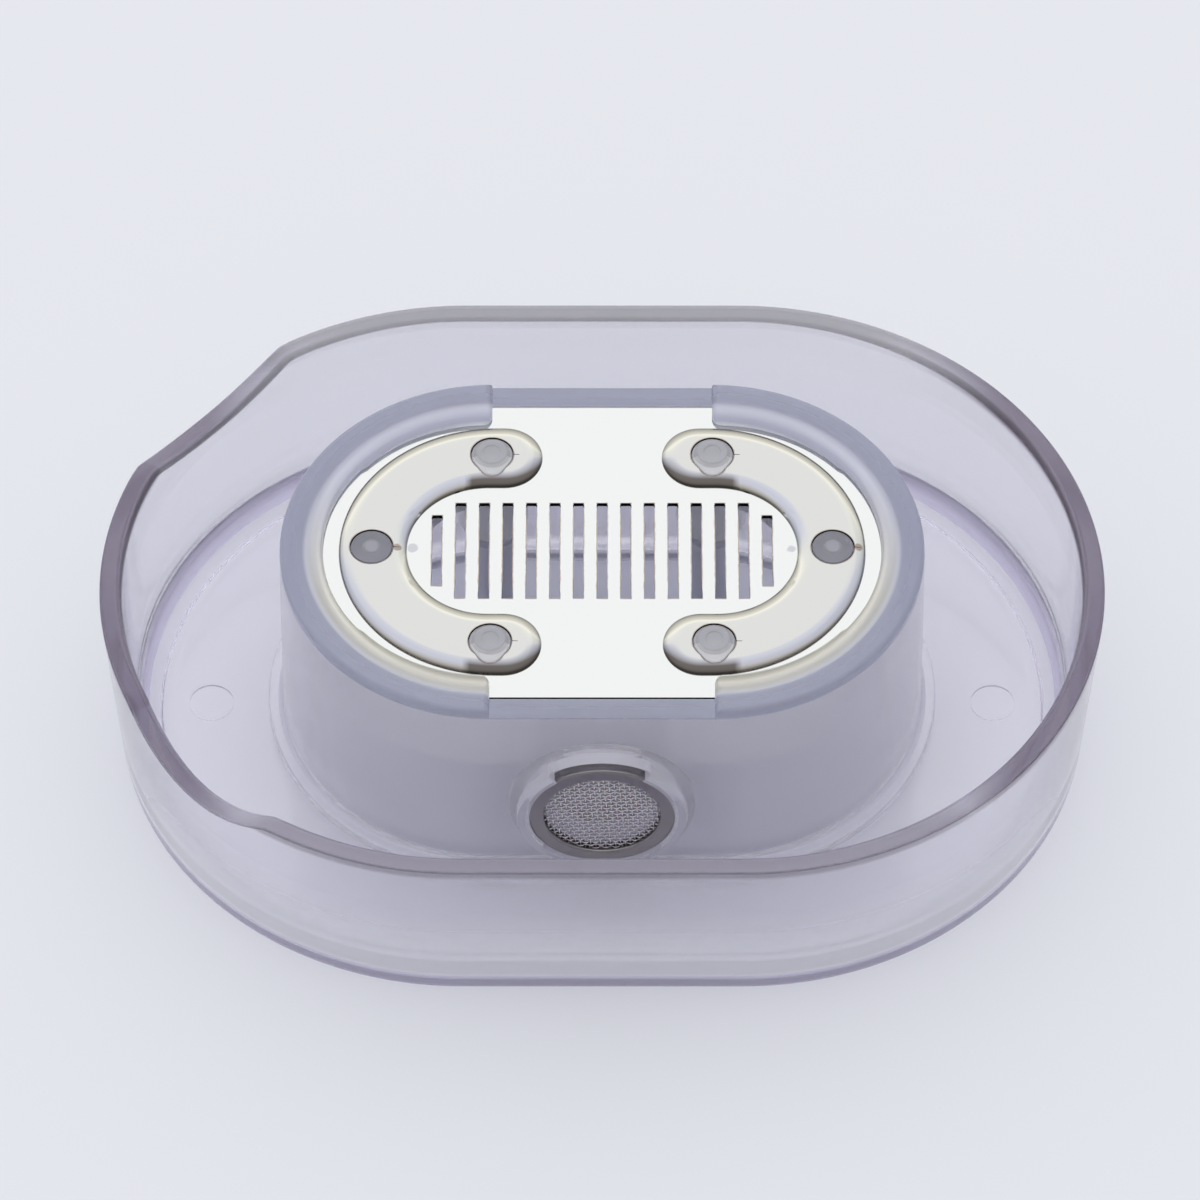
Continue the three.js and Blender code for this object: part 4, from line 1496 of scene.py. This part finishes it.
def post_outline(clearance: float, radius: float = 2.5, toe_radius: float = 1.45,
                 toe_drop: float = 1.83, step: float = 6.0) -> list[Corner]:
    """Gives the section of a corner post: round to the rear, drawn in to a smaller toe in front.

    Args:
        clearance: How much larger it is all round, for the post's hole.
        radius: Radius of its rear.
        toe_radius: Radius of its toe.
        toe_drop: How far the toe's middle lies in front of the rear's.
        step: Degrees from point to point.

    Returns:
        The outline about the middle of its rear.
    """
    lean = math.degrees(math.asin((radius - toe_radius) / toe_drop))
    outline = []
    for middle, reach, start, end in ((0.0, radius, -lean, 180 + lean),
                                      (-toe_drop, toe_radius, 180 + lean, 360 - lean)):
        count = round((end - start) / step)
        for i in range(count + 1):
            angle = math.radians(start + (end - start) * i / count)
            outline.append(Corner((reach + clearance) * math.cos(angle),
                                  middle + (reach + clearance) * math.sin(angle)))
    return outline


def box_outline(half_width: float, low: float, high: float) -> list[Corner]:
    """Gives a rectangle that is centred across and runs from a low to a high edge."""
    return [Corner(-half_width, low), Corner(half_width, low), Corner(half_width, high),
            Corner(-half_width, high)]


@dataclass
class PumpHousing:
    """The clear pedestal, with lips over the plate's ends and the filter's boss on its front."""

    length: float = 82.7
    width: float = 54.2
    foot_z: float = 3.1
    top: float = 34.9
    rise: float = 31.9
    wall: float = 3.0
    draft: float = 0.5
    top_round: float = 0.8
    foot_width: float = 1.85
    foot_thickness: float = 1.4
    foot_fillet: float = 0.8
    foot_edge: float = 0.4
    lip_step: float = 1.2
    lip_reach: float = 3.5
    lip_end_setback: float = 0.65
    lip_slope: float = 0.65
    lip_edge: float = 0.3
    lip_shoulder: tuple[float, float] = (1.1, 0.3)
    shoulder_band: float = 0.6
    lip_corner: float = 1.3
    lip_end_round: float = 1.22
    gate_edge: float = 0.5
    port_z: float = 16.0
    port_radius: float = 6.3
    boss_rise: float = 2.4
    boss_foot_radius: float = 12.2
    boss_face_radius: float = 10.7
    boss_blend: float = 1.2
    bead_chamfer: float = 0.35
    recess_depth: float = 2.2
    seat_radius: float = 9.8
    seat_web: float = 2.0
    bead_radius: float = 9.3
    bead_thickness: float = 0.3
    notch_radius: float = 11.0
    notch_degrees: tuple[float, float] = (56, 128)
    open_foot_degrees: tuple[float, float] = (217, 323)
    flap_pocket_radius: float = 7.3
    flap_bar_half: float = 4.5
    flap_bar_top: float = 7.9

    def __post_init__(self) -> None:
        """Works out the path, the radii and the heights."""
        self.track = Track((self.length - self.width) / 2)
        self.radius = self.width / 2
        self.inner = self.radius - self.wall
        self.wall_top = self.top - self.lip_step
        self.lip_under = self.top - self.lip_slope - self.lip_edge
        self.lip_inner = self.inner - self.lip_reach
        self.face_depth = self.outer_radius(self.port_z) + self.boss_rise
        self.seat_depth = self.face_depth - self.recess_depth

    def outer_radius(self, z: float) -> float:
        """Gives the wall's outside radius at a height."""
        return self.radius + self.draft * (self.top - z) / self.rise

    def section(self) -> list[Corner]:
        """Gives the wall's section with its foot flange and its lip."""
        foot_top = self.foot_z + self.foot_thickness
        foot_radius = self.outer_radius(self.foot_z) + self.foot_width
        return [
            Corner(self.inner, self.foot_z), Corner(foot_radius, self.foot_z, 0.2),
            Corner(foot_radius, foot_top, self.foot_edge),
            Corner(self.outer_radius(foot_top), foot_top, self.foot_fillet),
            Corner(self.radius, self.top, self.top_round), Corner(self.inner, self.top, 3.0),
            Corner(self.lip_inner + self.lip_shoulder[0], self.top - self.lip_shoulder[1], 1.5),
            Corner(self.lip_inner, self.lip_under + self.lip_edge, 0.2),
            Corner(self.lip_inner, self.lip_under), Corner(self.inner, self.lip_under),
        ]

    def gate_outline(self, outside: float) -> list[Corner]:
        """Gives the plan of the gap between the lips, reaching a distance to the front and rear.

        Args:
            outside: How far it reaches along Y.

        Returns:
            The outline, with the lips' inner corners rounded.
        """
        side = self.track.half_straight
        waist = side + self.lip_corner + 0.05
        quarter = [Corner(waist, self.lip_inner), Corner(side, self.lip_inner, self.lip_corner),
                   Corner(side, outside)]
        top = quarter + [Corner(-c.across, c.up, c.rounding) for c in reversed(quarter)]
        return top + [Corner(c.across, -c.up, c.rounding) for c in reversed(top)]

    def open_gates(self, shell: Workpiece) -> None:
        """Cuts the lips away along the straight sides, leaving their ends rounded over."""
        gate = Workpiece("gate")
        gate.draw(DrawingPlane.plan(self.wall_top), self.gate_outline(self.radius + 3), True)
        steps = 8
        reach, height = self.track.half_straight, 0.0
        with gate.editing():
            bpy.ops.mesh.edge_face_add()
            for i in range(1, steps + 2):
                turn = min(i / steps, 1) * math.pi / 2
                next_reach = self.track.half_straight + self.lip_end_round * (1 - math.cos(turn))
                next_height = self.lip_end_round * math.sin(turn) + (1 if i > steps else 0)
                gate.extrude(Vector((0, 0, (next_height - height) * MM)))
                bpy.ops.transform.resize(value=(next_reach / reach, 1, 1),
                                         center_override=(0, 0, 0))
                reach, height = next_reach, next_height
        gate.close()
        shell.combine(gate, Mode.CUT)
        side = self.track.half_straight
        shell.round_edges(lambda a, b: abs(a.z - self.wall_top) < 0.01
                          and abs(b.z - self.wall_top) < 0.01 and abs(a.x) < side + 0.01
                          and abs(b.x) < side + 0.01 and abs(a.y - b.y) < 0.01
                          and abs(a.y) > self.inner - 0.1, self.gate_edge)

    def set_back_lip_ends(self, shell: Workpiece) -> None:
        """Moves the lips' inner edges outwards at both ends, and half as far at their shoulders."""
        side = self.track.half_straight
        shoulder = self.lip_inner + self.lip_shoulder[0]

        def reach(p: Vector) -> float:
            """Gives a point's distance from the middle of its end."""
            return math.hypot(abs(p.x) - side, p.y)

        edge, beyond = shoulder - self.shoulder_band, shoulder + self.shoulder_band
        with shell.editing():
            for sign in (1, -1):
                for near, far, share in ((0, edge, 1.0), (edge, beyond, 0.5)):
                    shell.select("VERT", lambda p: p.z > self.lip_under - 0.01
                                 and sign * p.x > side - 0.01 and near < reach(p) <= far)
                    shift = sign * share * self.lip_end_setback
                    bpy.ops.transform.translate(value=(shift * MM, 0, 0))

    def add_boss(self, shell: Workpiece) -> None:
        """Grows the boss out of the front and cuts the filter's seat and the port into it."""
        port = DrawingPlane.port(self.port_z)
        face, seat = self.face_depth, self.seat_depth
        wall_depth = self.outer_radius(self.port_z)
        foot = self.boss_foot_radius + self.boss_blend
        bead_mouth = self.bead_radius + self.bead_chamfer
        shell.combine(Workpiece.turned("boss", port, [
            Corner(0, self.inner + 0.1), Corner(foot, self.inner + 0.1),
            Corner(foot, wall_depth - 0.9),
            Corner(self.boss_foot_radius - 0.4, wall_depth + 0.3, 1.0),
            Corner(self.boss_face_radius, face, 0.6), Corner(0, face)], 96), Mode.JOIN)
        cutter = Workpiece.turned("seat", port, [
            Corner(0, seat), Corner(self.seat_radius, seat),
            Corner(self.seat_radius, face - self.bead_thickness),
            Corner(self.bead_radius, face - self.bead_thickness),
            Corner(self.bead_radius, face - 0.15), Corner(bead_mouth, face + 0.2),
            Corner(bead_mouth, face + 1), Corner(0, face + 1)], 96)
        beyond = face + 1 - seat
        front = DrawingPlane.front(seat, self.port_z)
        cutter.combine(Workpiece.prism(
            "open_foot", front, sector(self.seat_radius, *self.open_foot_degrees), beyond),
            Mode.JOIN)
        cutter.combine(Workpiece.prism(
            "notch", front, sector(self.notch_radius, *self.notch_degrees), beyond), Mode.JOIN)
        pocket_floor = seat - self.seat_web
        cutter.combine(Workpiece.turned("port", port, [
            Corner(0, self.inner - 1), Corner(self.flap_pocket_radius, self.inner - 1),
            Corner(self.flap_pocket_radius, pocket_floor), Corner(self.port_radius, pocket_floor),
            Corner(self.port_radius, seat + 0.5), Corner(0, seat + 0.5)], 64), Mode.JOIN)
        cutter.combine(Workpiece.prism(
            "bar_slot", DrawingPlane.front(self.inner - 1, self.port_z),
            box_outline(self.flap_bar_half, 0, self.flap_bar_top), pocket_floor + 1.3 - self.inner),
            Mode.JOIN)
        shell.combine(cutter, Mode.CUT)
        middle = Vector((0, 0, self.port_z))
        shell.round_edges(lambda a, b: abs(a.y + face) < 0.01 and abs(b.y + face) < 0.01
                          and ((a + b) / 2 - middle).xz.length < self.notch_radius + 0.2, 0.15, 2)

    def build(self, finish: TonedPlastic) -> Workpiece:
        """Models the housing.

        Args:
            finish: Its material.

        Returns:
            The finished piece.
        """
        shell = Workpiece.swept("clear_pump_housing", self.track, self.section())
        self.set_back_lip_ends(shell)
        self.open_gates(shell)
        self.add_boss(shell)
        shell.place(BODY_STAND, "clear_plastic", finish.material(), "pump_housing")
        return shell


@dataclass
class RinsePlate:
    """The pressed steel plate: fifteen slots and two raised ribs, each with three holes."""

    half_straight: float = 14.25
    radius: float = 23.8
    top: float = 33.65
    thickness: float = 0.6
    slot_count: int = 15
    slot_pitch: float = 3.03
    slot_width: float = 1.21
    slot_flare: float = 0.12
    slot_length: float = 15.66
    end_slot_share: float = 0.74
    rib_radius: float = 15.325
    rib_half: float = 4.925
    rib_rise: float = 0.8
    rib_reach: float = 1.63
    rib_shoulder: float = 2.1
    rib_outer_shift: float = -0.7
    rib_inner_shift: float = 0.4
    post_y: float = 15.325
    end_hole_x: float = 29.575
    end_hole_radius: float = 2.8
    hole_clearance: float = 0.3
    nick_width: float = 0.16
    nick_reach: float = 0.75

    def slot_outline(self, length: float) -> list[Corner]:
        """Gives a punched slot, a little wider at its ends."""
        half, end = self.slot_width / 2, length / 2
        wide = half + self.slot_flare
        right = [Corner(half, -0.6 * end), Corner(half, 0.6 * end), Corner(wide, end - 0.4),
                 Corner(half, end, 0.15)]
        left = [Corner(-c.across, c.up, c.rounding) for c in reversed(right[1:])]
        foot = [Corner(-half, -0.6 * end), Corner(-wide, 0.35 - end), Corner(-wide, -end, 0.1),
                Corner(wide, -end, 0.1), Corner(wide, 0.35 - end)]
        return right + left + foot

    def rib(self, name: str, wall: float, foot: float, steps: int = 10) -> Workpiece:
        """Models the right-hand rib, or the hollow under it.

        Args:
            name: What the body is called.
            wall: How far it lies inside the rib's outer skin.
            foot: Height of its flat underside.
            steps: Faces across its shoulder, which steepens towards the foot.

        Returns:
            The closed body.
        """
        end_x = self.half_straight - self.rib_reach
        half = []
        for i in range(steps, -1, -1):
            turn = i / steps * math.pi / 2
            inset = self.rib_shoulder * (i / steps) ** 1.6
            rise = self.rib_rise * math.sin(turn) ** 0.8
            half.append(Corner(self.rib_half - wall - inset, self.top + rise - wall))
        right = [*half, Corner(half[-1].across, foot)]
        left = [Corner(-c.across, c.up) for c in reversed(right)]
        rib = Workpiece(name)
        rib.draw(DrawingPlane.upright(end_x, -self.rib_radius),
                 [Corner(0, half[0].up), *right, Corner(0, foot), *left], True)
        middle = Vector((self.half_straight, 0, 0)) * MM
        up = Vector((0, 0, 1))
        reach = Vector((self.rib_reach, 0, 0)) * MM
        with rib.editing("EDGE"):
            rib.extrude(reach)
            rib.spin(72, math.pi, middle, up)
            bpy.ops.mesh.select_mode(type="EDGE")
            rib.extrude(-reach)
            for across in sorted({c.across for c in (*right, *left)}):
                self.shift_arc(rib, across)
            for side in (-1, 1):
                hub = Vector((end_x, side * self.rib_radius, 0))
                rib.select("VERT", lambda p: abs(p.x - end_x) < 0.001
                           and side * (p.y - hub.y) > -0.001)
                rib.spin(24, side * math.pi, hub * MM, up)
        rib.close()
        return rib

    def shift_arc(self, rib: Workpiece, across: float) -> None:
        """Slides one line of the rib's bend along X, for the bend is narrower than the arms.

        Args:
            rib: The rib, open for editing.
            across: Distance of the line outwards from the middle of the rib's width.
        """
        share = (across / self.rib_half + 1) / 2
        shift = self.rib_inner_shift + (self.rib_outer_shift - self.rib_inner_shift) * share
        rib.select("VERT", lambda p: p.x > self.half_straight - 0.001 and abs(
            math.hypot(p.x - self.half_straight, p.y) - self.rib_radius - across) < 0.002)
        bpy.ops.transform.translate(value=(shift * MM, 0, 0))

    def hole(self, name: str, outline: list[Corner], reach: float) -> Workpiece:
        """Models a cutter for a hole with the small nick that the laser left on its right.

        Args:
            name: What the body is called.
            outline: The hole's outline.
            reach: How far the outline reaches to the right.

        Returns:
            The closed body, at the origin.
        """
        low = self.top - self.thickness - 1
        depth = self.thickness + self.rib_rise + 2
        hole = Workpiece.prism(name, DrawingPlane.plan(low), outline, depth, 8.0)
        half = self.nick_width / 2
        hole.combine(Workpiece.prism(f"{name}_nick", DrawingPlane.plan(low - 0.1), [
            Corner(0, -half), Corner(reach + self.nick_reach, -half / 2),
            Corner(reach + self.nick_reach, half / 2), Corner(0, half)], depth + 0.2), Mode.JOIN)
        return hole

    def build(self, finish: PolishedStainless) -> Workpiece:
        """Models the plate.

        Args:
            finish: Its material.

        Returns:
            The finished piece.
        """
        under = self.top - self.thickness
        track = Track(self.half_straight)
        plate = Workpiece.prism("steel_rinse_plate", DrawingPlane.plan(under),
                                track.outline(self.radius), self.thickness, 1.5)
        for name, wall, foot, mode in (("rib", 0.0, under + 0.2, Mode.JOIN),
                                       ("rib_hollow", self.thickness, under - 1, Mode.CUT)):
            right = self.rib(name, wall, foot)
            right.join(right.copied(f"{name}_left", flip=(-1, 1, 1)))
            plate.combine(right, mode)
        slot = Workpiece.prism("slots", DrawingPlane.plan(under - 1),
                               self.slot_outline(self.slot_length), self.thickness + 2)
        end = Workpiece.prism("end_slots", DrawingPlane.plan(under - 1),
                              self.slot_outline(self.slot_length * self.end_slot_share),
                              self.thickness + 2)
        last = (self.slot_count - 1) // 2
        slot.repeated([(i * self.slot_pitch, 0, 0) for i in range(1 - last, last)])
        end.repeated([(side * last * self.slot_pitch, 0, 0) for side in (-1, 1)])
        slot.join(end)
        corner_hole = self.hole("corner_holes", post_outline(self.hole_clearance),
                                self.end_hole_radius)
        corner_hole.repeated([(sx * self.half_straight, sy * self.post_y, 0) for sx, sy in CORNERS])
        slot.join(corner_hole)
        end_hole = self.hole("end_holes", Track(0).outline(self.end_hole_radius),
                             self.end_hole_radius)
        end_hole.repeated([(side * self.end_hole_x, 0, 0) for side in (-1, 1)])
        slot.join(end_hole)
        plate.combine(slot, Mode.CUT)
        plate.place(BODY_PRESS, "polished_stainless", finish.material(), "rinse_plate")
        return plate


@dataclass
class Plunger:
    """The carrier under the plate: deck, skirt, spring sleeves and heads that hold the plate."""

    half_straight: float = 14.25
    radius: float = 23.7
    deck_top: float = 32.95
    deck_thickness: float = 2.0
    opening_radius: float = 9.475
    skirt_wall: float = 1.6
    skirt_depth: float = 11.2
    gate_half: float = 8.2
    sleeve_inner: float = 3.8
    sleeve_wall: float = 0.8
    sleeve_depth: float = 9.0
    post_y: float = 15.325
    rib_top: float = 34.45
    post_spread: float = 0.2
    head_rise: float = 0.4
    head_radius: float = 1.9
    button_foot: float = 2.45
    button_back: float = 0.15
    dimple_radius: float = 1.15
    dimple_depth: float = 0.1
    spot_radius: float = 0.9
    spot_rise: float = 0.12
    end_pin_x: float = 29.575
    end_pin_radius: float = 2.68

    def build(self, finish: TonedPlastic) -> Workpiece:
        """Models the plunger.

        Args:
            finish: Its material.

        Returns:
            The finished piece.
        """
        deck_under = self.deck_top - self.deck_thickness
        skirt_end = self.deck_top - self.skirt_depth
        carrier = Workpiece.swept("milky_plunger", Track(self.half_straight), [
            Corner(self.opening_radius, deck_under, 0.2),
            Corner(self.opening_radius, self.deck_top, 0.3),
            Corner(self.radius, self.deck_top, 0.5), Corner(self.radius, skirt_end, 0.3),
            Corner(self.radius - self.skirt_wall, skirt_end, 0.3),
            Corner(self.radius - self.skirt_wall, deck_under, 0.6)])
        carrier.combine(Workpiece.prism(
            "gate", DrawingPlane.front(self.radius - self.skirt_wall - 1, 0),
            box_outline(self.gate_half, skirt_end - 1, deck_under), self.skirt_wall + 2), Mode.CUT)
        places = [(sx * self.half_straight, sy * self.post_y, 0) for sx, sy in CORNERS]
        sleeve_end = deck_under - self.sleeve_depth
        sleeve = Workpiece.turned("sleeves", DrawingPlane.upright(), [
            Corner(self.sleeve_inner, sleeve_end, 0.2), Corner(self.sleeve_inner, deck_under + 0.5),
            Corner(self.sleeve_inner + self.sleeve_wall, deck_under + 0.5),
            Corner(self.sleeve_inner + self.sleeve_wall, sleeve_end, 0.2)], 48, closed=True)
        sleeve.repeated(places)
        carrier.combine(sleeve, Mode.JOIN)
        head = Workpiece.prism("heads", DrawingPlane.plan(self.deck_top - 0.5),
                               post_outline(self.post_spread), self.rib_top + 0.5 - self.deck_top)
        head.round_edges(lambda a, b: min(a.z, b.z) > self.rib_top - 0.01, 0.25)
        top = self.rib_top + self.head_rise
        dimple = top - self.dimple_depth
        head.combine(Workpiece.turned("button", DrawingPlane.upright(0, self.button_back), [
            Corner(0, self.rib_top - 0.6), Corner(self.button_foot, self.rib_top - 0.6),
            Corner(self.button_foot, self.rib_top - 0.05, 0.15),
            Corner(self.head_radius, top, 0.2), Corner(self.dimple_radius, top, 0.1),
            Corner(self.dimple_radius - 0.15, dimple, 0.1), Corner(0, dimple)], 64), Mode.JOIN)
        head.repeated(places)
        carrier.combine(head, Mode.JOIN)
        pin = Workpiece.turned("end_pins", DrawingPlane.upright(), [
            Corner(0, self.deck_top - 0.5), Corner(self.end_pin_radius, self.deck_top - 0.5),
            Corner(self.end_pin_radius, self.rib_top, 0.2),
            Corner(self.spot_radius + 0.25, self.rib_top, 0.1),
            Corner(self.spot_radius, self.rib_top + self.spot_rise, 0.1),
            Corner(0, self.rib_top + self.spot_rise)], 64)
        pin.repeated([(side * self.end_pin_x, 0, 0) for side in (-1, 1)])
        carrier.combine(pin, Mode.JOIN)
        carrier.place(BODY_PRESS, "milky_plastic", finish.material(), "plunger")
        return carrier


@dataclass
class ReturnSprings:
    """The four coil springs: close turns at both ends and open ones between."""

    post_x: float = 14.25
    post_y: float = 15.325
    radius: float = 3.15
    wire: float = 0.7
    seat_z: float = 19.65
    length: float = 11.0
    curls: float = 5.0
    close_below: float = 1.5
    close_above: float = 1.0
    end_pitch: float = 1.2
    steps_per_curl: int = 32
    keep: float = 4.5 / 11.0

    def height(self, curl: float) -> float:
        """Gives the wire's height above its start after a number of curls."""
        span = self.length - self.wire
        open_curls = self.curls - self.close_below - self.close_above
        open_pitch = (span - self.end_pitch * (self.close_below + self.close_above)) / open_curls
        below = min(curl, self.close_below)
        between = min(max(curl - self.close_below, 0.0), open_curls)
        above = max(curl - self.close_below - open_curls, 0.0)
        return self.end_pitch * (below + above) + open_pitch * between

    def wind(self) -> Workpiece:
        """Winds one spring about the origin, a step of the wire at a time."""
        spring = Workpiece("spring")
        half = self.wire / 2
        start = self.seat_z + half
        spring.draw(DrawingPlane(Vector((self.radius, 0, start)), Vector((1, 0, 0)),
                                 Vector((0, 0, 1))), Track(0).outline(half), True, 30.0)
        steps = round(self.curls * self.steps_per_curl)
        turn = math.tau / self.steps_per_curl
        with spring.editing("EDGE"):
            bpy.ops.mesh.edge_face_add()
            for i in range(steps):
                rise = self.height((i + 1) / self.steps_per_curl) - self.height(
                    i / self.steps_per_curl)
                spring.extrude(Vector((0, 0, rise * MM)))
                bpy.ops.transform.rotate(value=-turn, orient_axis="Z", center_override=(0, 0, 0))
        spring.close()
        return spring

    def build(self, finish: "DrawnSteel") -> list[Workpiece]:
        """Models the four springs.

        Args:
            finish: Their material.

        Returns:
            The finished pieces.
        """
        pattern = self.wind()
        material = finish.material()
        springs = []
        for side_x, side_y in CORNERS:
            depth = "front" if side_y < 0 else "rear"
            hand = "left" if side_x < 0 else "right"
            x, y = side_x * self.post_x, side_y * self.post_y
            spring = pattern.copied(f"spring_{depth}_{hand}", (x, y, 0))
            spring.place(BODY_STAND, "spring_wire", material, f"return_spring_{depth}_{hand}")
            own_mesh(spring.obj)
            springs.append(spring)
        bpy.data.objects.remove(pattern.obj)
        return springs


@dataclass
class Filter:
    """The filter: wire cloth held in a ring that is folded over its edge."""

    port_z: float = 16.0
    back: float = 27.8
    thickness: float = 1.6
    radius: float = 9.5
    opening: float = 7.45
    crimp_front: float = 0.4
    crimp_back: float = 0.3
    crimp_depth: float = 0.85
    pitch: float = 0.64
    wire_radius: float = 0.115
    cloth_radius: float = 7.95
    slant: float = 4.0

    def ring(self, finish: "DrawnSteel") -> Workpiece:
        """Models the folded ring.

        Args:
            finish: Its material.

        Returns:
            The finished piece.
        """
        front = self.back + self.thickness
        groove = self.opening + self.crimp_depth
        ring = Workpiece.turned("folded_filter_ring", DrawingPlane.port(self.port_z), [
            Corner(self.opening, front - self.crimp_front, 0.05),
            Corner(self.opening, front, 0.3), Corner(self.radius, front, 0.35),
            Corner(self.radius, self.back, 0.25), Corner(self.opening, self.back, 0.1),
            Corner(self.opening, self.back + self.crimp_back, 0.1),
            Corner(groove, self.back + self.crimp_back), Corner(groove, front - self.crimp_front),
        ], 96, closed=True)
        ring.place(BODY_STAND, "filter_steel", finish.material(), "filter_ring")
        return ring

    def wire_pair(self, reach: int) -> Workpiece:
        """Models two neighbouring wires along X, each waving the other way.

        Args:
            reach: Crossings to each side of the middle.

        Returns:
            The two wires, the first at the middle and the second one pitch above it.
        """
        steps = 4
        wires = []
        for i, way in enumerate((1, -1)):
            wire = Workpiece(f"wire_{i}")
            start = Vector((-reach * self.pitch, 0, i * self.pitch))
            phase = math.cos(math.pi * reach) * way
            wire.draw(DrawingPlane(start + Vector((0, phase * self.wire_radius, 0)),
                                   Vector((0, 1, 0)), Vector((0, 0, 1))),
                      Track(0).outline(self.wire_radius), True, 60.0)
            with wire.editing("EDGE"):
                bpy.ops.mesh.edge_face_add()
                before = phase
                for step in range(1, 2 * reach * steps + 1):
                    wave = way * math.cos(math.pi * (step / steps - reach))
                    rise = (wave - before) * self.wire_radius
                    wire.extrude(Vector((self.pitch / steps, rise, 0)) * MM)
                    before = wave
            wire.close()
            wires.append(wire)
        wires[0].join(wires[1])
        return wires[0]

    def cloth(self, finish: "DrawnSteel") -> Workpiece:
        """Weaves the cloth.

        Args:
            finish: Its material.

        Returns:
            The finished piece.
        """
        reach = math.ceil(self.cloth_radius / self.pitch)
        cloth = self.wire_pair(reach)
        rows = range(-reach, reach + 1, 2)
        cloth.rename("woven_filter_cloth")
        cloth.repeated([(0, 0, i * self.pitch) for i in rows])
        uprights = cloth.copied("uprights", flip=(1, -1, 1))
        with uprights.editing():
            bpy.ops.transform.rotate(value=math.pi / 2, orient_axis="Y", center_override=(0, 0, 0))
        cloth.join(uprights)
        depth = self.back + (self.crimp_back + self.thickness - self.crimp_front) / 2
        with cloth.editing():
            bpy.ops.transform.rotate(value=math.radians(self.slant), orient_axis="Y",
                                     center_override=(0, 0, 0))
            cloth.select("VERT", lambda p: p.xz.length > self.cloth_radius)
            bpy.ops.mesh.delete(type="VERT")
            bpy.ops.mesh.select_all(action="SELECT")
            bpy.ops.mesh.fill_holes(sides=0)
            bpy.ops.mesh.normals_make_consistent(inside=False)
            bpy.ops.transform.translate(value=Vector((0, -depth, self.port_z)) * MM)
        cloth.place(BODY_STAND, "wire_cloth", finish.material(), "filter_mesh", smooth_degrees=80)
        return cloth


@dataclass
class InletFlap:
    """The soft flap inside the port, hanging from a bar along its top."""

    port_z: float = 16.0
    front: float = 25.3
    radius: float = 6.9
    thickness: float = 0.8
    bar_radius: float = 0.7
    bar_length: float = 8.4

    def build(self, finish: Silicone) -> Workpiece:
        """Models the flap.

        Args:
            finish: Its material.

        Returns:
            The finished piece.
        """
        back = self.front - self.thickness
        blade = Workpiece.turned("silicone_inlet_flap", DrawingPlane.port(self.port_z),
                                 drum_outline(self.radius, back, self.front, 0.2, 0.2), 64)
        half = self.bar_length / 2
        axis = DrawingPlane(Vector((0, self.thickness / 2 - self.front, self.port_z + self.radius)),
                            Vector((0, 0, 1)), Vector((1, 0, 0)))
        blade.combine(Workpiece.turned("bar", axis, drum_outline(
            self.bar_radius, -half, half, 0.2, 0.2), 32), Mode.JOIN)
        blade.place(BODY_FLAP, "silicone", finish.material(), "inlet_flap")
        return blade


def main() -> None:
    """Builds the studio and every piece in order."""
    logging.basicConfig(level=logging.INFO, format="%(message)s")
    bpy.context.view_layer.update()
    Studio().set_up()
    Basin().build(BasinPlastic("lavender SAN of the basin, polished", clarity=0.94, roughness=0.1,
                               half_straight=17.95, tint="#9C91B8", density=22.0))
    PumpHousing().build(HousingPlastic("lavender SAN of the housing, satin inside", clarity=0.8,
                                       roughness=0.18, roughness_inside=0.35, tint="#9890BA"))
    RinsePlate().build(PolishedStainless())
    Plunger().build(MilkyPlastic("natural polypropylene of the plunger"))
    ReturnSprings().build(DrawnSteel("stainless spring wire, drawn", "#8F9096", 0.3))
    woven = Filter()
    woven.ring(DrawnSteel("stainless strip, folded", "#989494", 0.22))
    woven.cloth(DrawnSteel("stainless wire cloth", "#DCD8DA", 0.25))
    InletFlap().build(Silicone("moulded silicone", "#E6E6EA", 0.5, 0.4, 2.0, 0.1))


if __name__ == "__main__":
    main()
